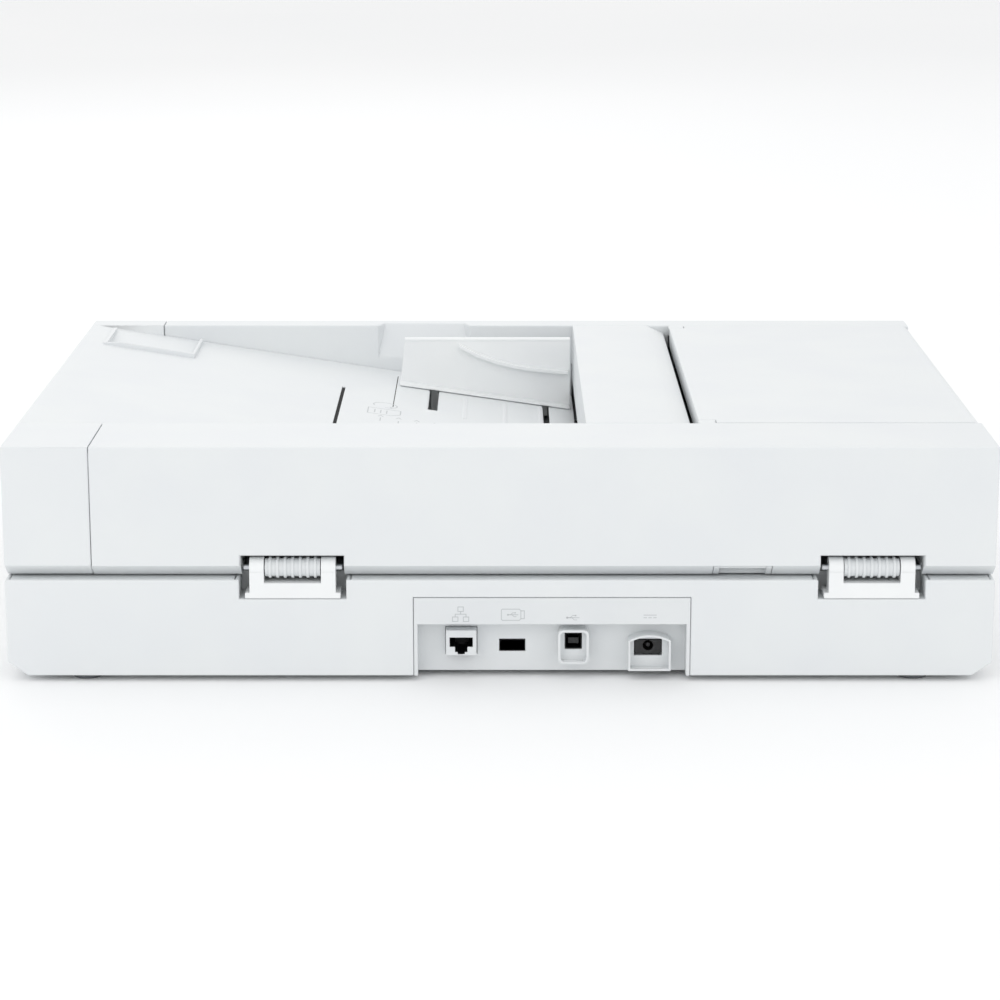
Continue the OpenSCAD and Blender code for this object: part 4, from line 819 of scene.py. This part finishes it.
class SCANNER_OT_ports(bpy.types.Operator):
    """Makes the port panel, its sockets, their contacts and the icons above them."""

    bl_idname = "scanner.ports"
    bl_label = "Port panel"

    def execute(self, context):
        s = settings()
        small = s.detail_round
        moulded("port_panel", "port_panel_moulded", "insert", small)
        moulded("network_socket", "network_socket_shell", "jack", small)
        moulded("usb_host_socket", "usb_host_shell", "socket_black", small * 0.5)
        moulded("usb_device_socket", "usb_device_shell", "socket_black", small * 0.5)
        moulded("power_inlet", "power_inlet_body", "socket_black", small)
        self.contacts()
        self.icons(s.print_height)
        return {"FINISHED"}

    @staticmethod
    def contacts():
        """Contacts in the network and host sockets, each a straight strip."""
        low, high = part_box("network_socket")
        middle = (low.x + high.x) / 2
        wire = bmesh.new()
        box_into(wire, (-0.2 * MM, -6 * MM, -0.25 * MM), (0.2 * MM, 0, 0.25 * MM))
        network = row("network_pins", wire,
                      (middle - 3.5 * 1.02 * MM, high.y - 3 * MM, low.z + 12.6 * MM),
                      (1.02 * MM, 0, 0), 8, "contact")
        rides_beside(joined("network_contacts", [network]), "network_socket")
        low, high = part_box("usb_host_socket")
        middle = (low.x + high.x) / 2
        strip = bmesh.new()
        box_into(strip, (-0.5 * MM, -7 * MM, -0.1 * MM), (0.5 * MM, 0, 0.1 * MM))
        host = row("host_pins", strip, (middle - 3.5 * MM, high.y - 2 * MM, low.z + 8.8 * MM),
                   (2.33 * MM, 0, 0), 4, "contact")
        rides_beside(joined("usb_host_contacts", [host]), "usb_host_socket")

    @staticmethod
    def icons(height):
        """Plain symbols: a network, a memory stick, a bus plug and direct current."""
        base = span("rubber_feet", 2)[1]

        def on_rear(x, z):
            return lambda u, v, h: Vector(
                ((x - u) * MM, REAR - PRINT_SINK + h, base + (z + v) * MM))

        def draw(bm):
            def stroke(x, z, path, width=0.45, closed=False):
                ribbon(bm, path, width, on_rear(x, z), height, closed)

            def dot(x, z, u, v, r):
                outline = [(u + r * math.cos(a), v + r * math.sin(a))
                           for a in [k * math.pi / 6 for k in range(12)]]
                solid_shape(bm, outline, on_rear(x, z), height)
            # network: one square over two, joined by lines
            for u, v in ((0, 5.4), (-2.8, 0), (2.8, 0)):
                stroke(20.4, 30.6, [(u - 1.4, v - 1.2), (u + 1.4, v - 1.2), (u + 1.4, v + 1.2),
                                    (u - 1.4, v + 1.2)], closed=True)
            stroke(20.4, 30.6, [(0, 4.2), (0, 2.7)])
            stroke(20.4, 30.6, [(-2.8, 1.2), (-2.8, 2.7), (2.8, 2.7), (2.8, 1.2)])
            # memory stick with its plug at the end
            stroke(-6.6, 33, [(-5.4, -3), (3.4, -3), (4.2, -2.2), (4.2, 2.2), (3.4, 3), (-5.4, 3),
                              (-5.9, 2.5), (-5.9, -2.5)], closed=True)
            stroke(-6.6, 33, [(4.2, -2.1), (6, -2.1), (6, 2.1), (4.2, 2.1)])
            for x, z, k in ((-7, 33, 0.85), (-38.2, 31.4, 1.0)):
                stroke(x, z, [(-3.4 * k, 0), (3 * k, 0)], 0.4)
                stroke(x, z, [(-1.8 * k, 0), (-0.6 * k, 1.2 * k), (0.9 * k, 1.2 * k)], 0.35)
                stroke(x, z, [(-0.9 * k, 0), (0.3 * k, -1.2 * k), (1.8 * k, -1.2 * k)], 0.35)
                dot(x, z, -3.4 * k, 0, 0.6 * k)
                dot(x, z, 1.0 * k, 1.2 * k, 0.45 * k)
            # direct current: a line over a broken line
            stroke(-77.8, 32.2, [(-3.4, 0.6), (3.4, 0.6)])
            for u in (-3.4, -0.9, 1.6):
                stroke(-77.8, 32.2, [(u, -0.8), (u + 1.8, -0.8)])
        rides_beside(marks("port_icons", draw, "ink"), "port_panel")


class SCANNER_OT_hinges(bpy.types.Operator):
    """Makes the hinge posts, ribbed leaves and pins."""

    bl_idname = "scanner.hinges"
    bl_label = "Lid hinges"

    def execute(self, context):
        radius = settings().detail_round
        for which in "ab":
            moulded("hinge_post_" + which, f"hinge_post_{which}_moulded", "guide", radius * 1.4)
            moulded("hinge_leaf_" + which, f"hinge_leaf_{which}_moulded", "insert", radius * 0.6)
        low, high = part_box("hinge_pins")
        radius = (high.z - low.z) / 2
        bm = bmesh.new()
        half = 25.75 * MM  # half a pin's length
        for x in (low.x + half, high.x - half):
            profile = [(0, -half), (radius * 0.7, -half), (radius, -half + 0.4 * MM),
                       (radius, half - 0.4 * MM), (radius * 0.7, half), (0, half)]
            lathe(bm, profile, (x, (low.y + high.y) / 2, (low.z + high.z) / 2), (1, 0, 0), 24)
        bmesh.ops.recalc_face_normals(bm, faces=bm.faces)
        stands_for(from_bmesh("hinge_pins_turned", bm, "steel"), "hinge_pins")
        return {"FINISHED"}


class SCANNER_OT_panel(bpy.types.Operator):
    """Makes the control panel, display window, buttons and their symbols."""

    bl_idname = "scanner.panel"
    bl_label = "Control panel"

    def execute(self, context):
        s = settings()
        moulded("control_panel", "control_panel_moulded", "insert", s.detail_round)
        moulded("display_window", "display_window_moulded", "display", s.detail_round)
        names = (("scan_button", "accent"), ("two_sided_button", "button"),
                 ("cancel_button", "button"), ("power_button", "button"))
        for node, look in names:
            moulded(node, node + "_moulded", look, s.detail_round, 3, sharp=50)
        self.symbols(s.print_height)
        return {"FINISHED"}

    @staticmethod
    def symbols(height):
        """Printed symbols on the buttons: start, two sides, cancel and power."""
        drawings = {
            "scan_button": [([(-1, -1.8), (2, 0), (-1, 1.8)], True)],
            "two_sided_button": [([(-2.2, -1.4), (0.4, -1.4), (0.4, 2.2), (-2.2, 2.2)], True),
                                 ([(1.2, 1.4), (2.2, 1.4), (2.2, -2.2), (-0.6, -2.2)], False)],
            "cancel_button": [([(-1.7, -1.7), (1.7, 1.7)], False),
                              ([(-1.7, 1.7), (1.7, -1.7)], False)],
            "power_button": [(arc((0, 0), 2.1, 125, 415, 24), False),
                             ([(0, 0.6), (0, 2.7)], False)],
        }
        for node, lines in drawings.items():
            low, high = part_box(node)
            x, z = (low.x + high.x) / 2, (low.z + high.z) / 2
            look = "button" if node == "scan_button" else "ink_dark"

            def draw(bm, lines=lines, x=x, z=z, y=low.y):
                for path, closed in lines:
                    ribbon(bm, path, 0.45, lambda u, v, h: Vector(
                        (x + u * MM, y + PRINT_SINK - h, z + v * MM)), height, closed)
            rides_beside(marks(node + "_symbol", draw, look), node)


class SCANNER_OT_platen_pad(bpy.types.Operator):
    """Makes the lid's foam pad and the white film under it."""

    bl_idname = "scanner.platen_pad"
    bl_label = "Platen pad"

    def execute(self, context):
        foam = self.slab("pad_foam", "pad_foam_cut", "foam", 4 * MM, 0.35 * MM)
        film = self.slab("pad_sheet", "pad_film", "pad_white", 5 * MM, 0.0)
        return {"FINISHED"}

    @staticmethod
    def slab(node, name, look, corner, pinch):
        """A flat slab with rounded corners whose sides draw in between top and bottom."""
        low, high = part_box(node)
        outline = []
        for cx, cy, start in ((high.x - corner, high.y - corner, 0),
                              (low.x + corner, high.y - corner, 90),
                              (low.x + corner, low.y + corner, 180),
                              (high.x - corner, low.y + corner, 270)):
            outline += [(p, (p[0] - cx, p[1] - cy)) for p in arc((cx, cy), corner, start,
                                                                start + 90, 8)]
        bm = bmesh.new()
        rings = []
        for share in (0, 0.12, 0.5, 0.88, 1):
            inset = pinch * (1 - abs(2 * share - 1)) + (0.25 * MM if share in (0, 1) else 0)
            z = low.z + (high.z - low.z) * share
            rings.append([bm.verts.new((p[0] - d[0] / corner * inset, p[1] - d[1] / corner * inset,
                                        z)) for p, d in outline])
        for one, two in zip(rings, rings[1:]):
            for i in range(len(one)):
                k = (i + 1) % len(one)
                bm.faces.new((one[i], one[k], two[k], two[i]))
        bm.faces.new(rings[0][::-1])
        bm.faces.new(rings[-1])
        bmesh.ops.recalc_face_normals(bm, faces=bm.faces)
        return stands_for(from_bmesh(name, bm, look, 40), node)


class SCANNER_OT_screws(bpy.types.Operator):
    """Makes the cross-head case screws."""

    bl_idname = "scanner.screws"
    bl_label = "Screws"

    def execute(self, context):
        for node in ("base_screws", "lid_screws"):
            low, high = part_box(node)
            radius, head = 3 * MM, high.z - low.z
            pieces = []  # one row of a single screw at each place
            for i, x in enumerate(self.places(node)):
                for y in (low.y + radius, high.y - radius):
                    pieces.append(row(f"{node}_{i}", self.head(radius, head), (x, y, low.z),
                                      (1, 0, 0), 1, "steel"))
            stands_for(joined(node + "_turned", pieces), node)
        return {"FINISHED"}

    @staticmethod
    def places(node):
        """The X places of a node's screws, from its own mesh."""
        found = []
        for vertex in frame["nodes"][node].data.vertices:
            if not any(abs(vertex.co.x - x) < 7 * MM for x in found):
                found.append(vertex.co.x)
        groups = []
        for x in found:
            near = [v.co.x for v in frame["nodes"][node].data.vertices if abs(v.co.x - x) < 7 * MM]
            groups.append((min(near) + max(near)) / 2)
        return sorted({round(g, 5) for g in groups})

    @staticmethod
    def head(radius, height):
        """A pan head with two crossed bars inside it, their tops flush with its top face."""
        bm = bmesh.new()
        lathe(bm, [(radius, 0), (radius, height * 0.5), (radius * 0.86, height * 0.86),
                   (radius * 0.6, height)], (0, 0, 0), (0, 0, 1), 24)
        for angle in (0, 90):
            verts = box_into(bm, (-radius * 0.45, -radius * 0.09, height * 0.55),
                             (radius * 0.45, radius * 0.09, height))
            bmesh.ops.rotate(bm, verts=verts, cent=(0, 0, 0),
                             matrix=Matrix.Rotation(math.radians(angle), 3, "Z"))
        return bm


class SCANNER_OT_stage(bpy.types.Operator):
    """Makes the floor, the soft studio light and the camera."""

    bl_idname = "scanner.stage"
    bl_label = "Stage"

    def execute(self, context):
        s = settings()
        scene = context.scene
        scene.view_settings.view_transform = "Standard"
        scene.view_settings.look = "None"
        self.floor(s.floor_colour)
        world = bpy.data.worlds.new("soft white room")
        world.use_nodes = True
        background = world.node_tree.nodes["Background"]
        background.inputs["Color"].default_value = (1, 1, 1, 1)
        background.inputs["Strength"].default_value = 0.95
        scene.world = world
        for name, place, size, power in (
                ("overhead softbox", (0.1, 0.3, 2.4), 2.6, 5.5),
                ("rear left softbox", (1.6, 2.2, 1.5), 1.8, 8.5),
                ("rear right softbox", (-1.9, 1.9, 1.1), 1.6, 3.5),
                ("front softbox", (0.6, -2.2, 1.7), 2.0, 5.5)):
            light = bpy.data.lights.new(name, "AREA")
            light.size, light.energy = size, power
            obj = bpy.data.objects.new(name, light)
            scene.collection.objects.link(obj)
            obj.location = place
            obj.rotation_euler = (Vector((0, 0, 0.06)) - obj.location).to_track_quat(
                "-Z", "Y").to_euler()
        camera = bpy.data.objects.new("camera", bpy.data.cameras.new("camera"))
        camera.data.lens = 105.63
        camera.data.sensor_width = 36
        camera.data.clip_end = 100
        camera.data.dof.use_dof = False
        height, pitch = 0.4502, 13.558  # metres above the floor, degrees down
        camera.location = (0, s.camera_distance, height)
        camera.rotation_euler = (math.radians(90 - pitch), 0, math.radians(180))
        scene.collection.objects.link(camera)
        scene.camera = camera
        return {"FINISHED"}

    @staticmethod
    def floor(tone):
        """A wide pale floor, painted and very slightly uneven in tone."""
        bm = bmesh.new()
        bmesh.ops.create_grid(bm, x_segments=8, y_segments=8, size=20)
        mesh = bpy.data.meshes.new("floor")
        bm.to_mesh(mesh)
        bm.free()
        material, tree, shader, place = finish("Painted board pale", Roughness=0.7)
        noise = add(tree, "ShaderNodeTexNoise", {"Vector": place, "Scale": 0.6})
        blend = mixed(tree, noise.outputs["Fac"], tuple(tone), colour("fcfcfc"))
        tree.links.new(blend, shader.inputs["Base Color"])
        mesh.materials.append(material)
        link("floor", mesh)


STEPS = (SCANNER_OT_finishes, SCANNER_OT_base, SCANNER_OT_lid, SCANNER_OT_tray,
         SCANNER_OT_guides, SCANNER_OT_ports, SCANNER_OT_hinges, SCANNER_OT_panel,
         SCANNER_OT_platen_pad, SCANNER_OT_screws, SCANNER_OT_stage)


class SCANNER_PT_panel(bpy.types.Panel):
    """Lists the settings and the steps in the sidebar."""

    bl_idname = "SCANNER_PT_panel"
    bl_label = "Scanner"
    bl_space_type = "VIEW_3D"
    bl_region_type = "UI"
    bl_category = "Scanner"

    def draw(self, context):
        for name in ScannerSettings.__annotations__:
            self.layout.prop(context.scene.scanner, name)
        for step in STEPS:
            self.layout.operator(step.bl_idname)


CLASSES = (ScannerSettings, *STEPS, SCANNER_PT_panel)


def register():
    for cls in CLASSES:
        bpy.utils.register_class(cls)
    bpy.types.Scene.scanner = bpy.props.PointerProperty(type=ScannerSettings)


def unregister():
    del bpy.types.Scene.scanner
    for cls in reversed(CLASSES):
        bpy.utils.unregister_class(cls)


def main():
    """Builds every piece."""
    register()
    for step in STEPS:
        group, name = step.bl_idname.split(".")
        getattr(getattr(bpy.ops, group), name)()


if __name__ == "__main__":
    main()
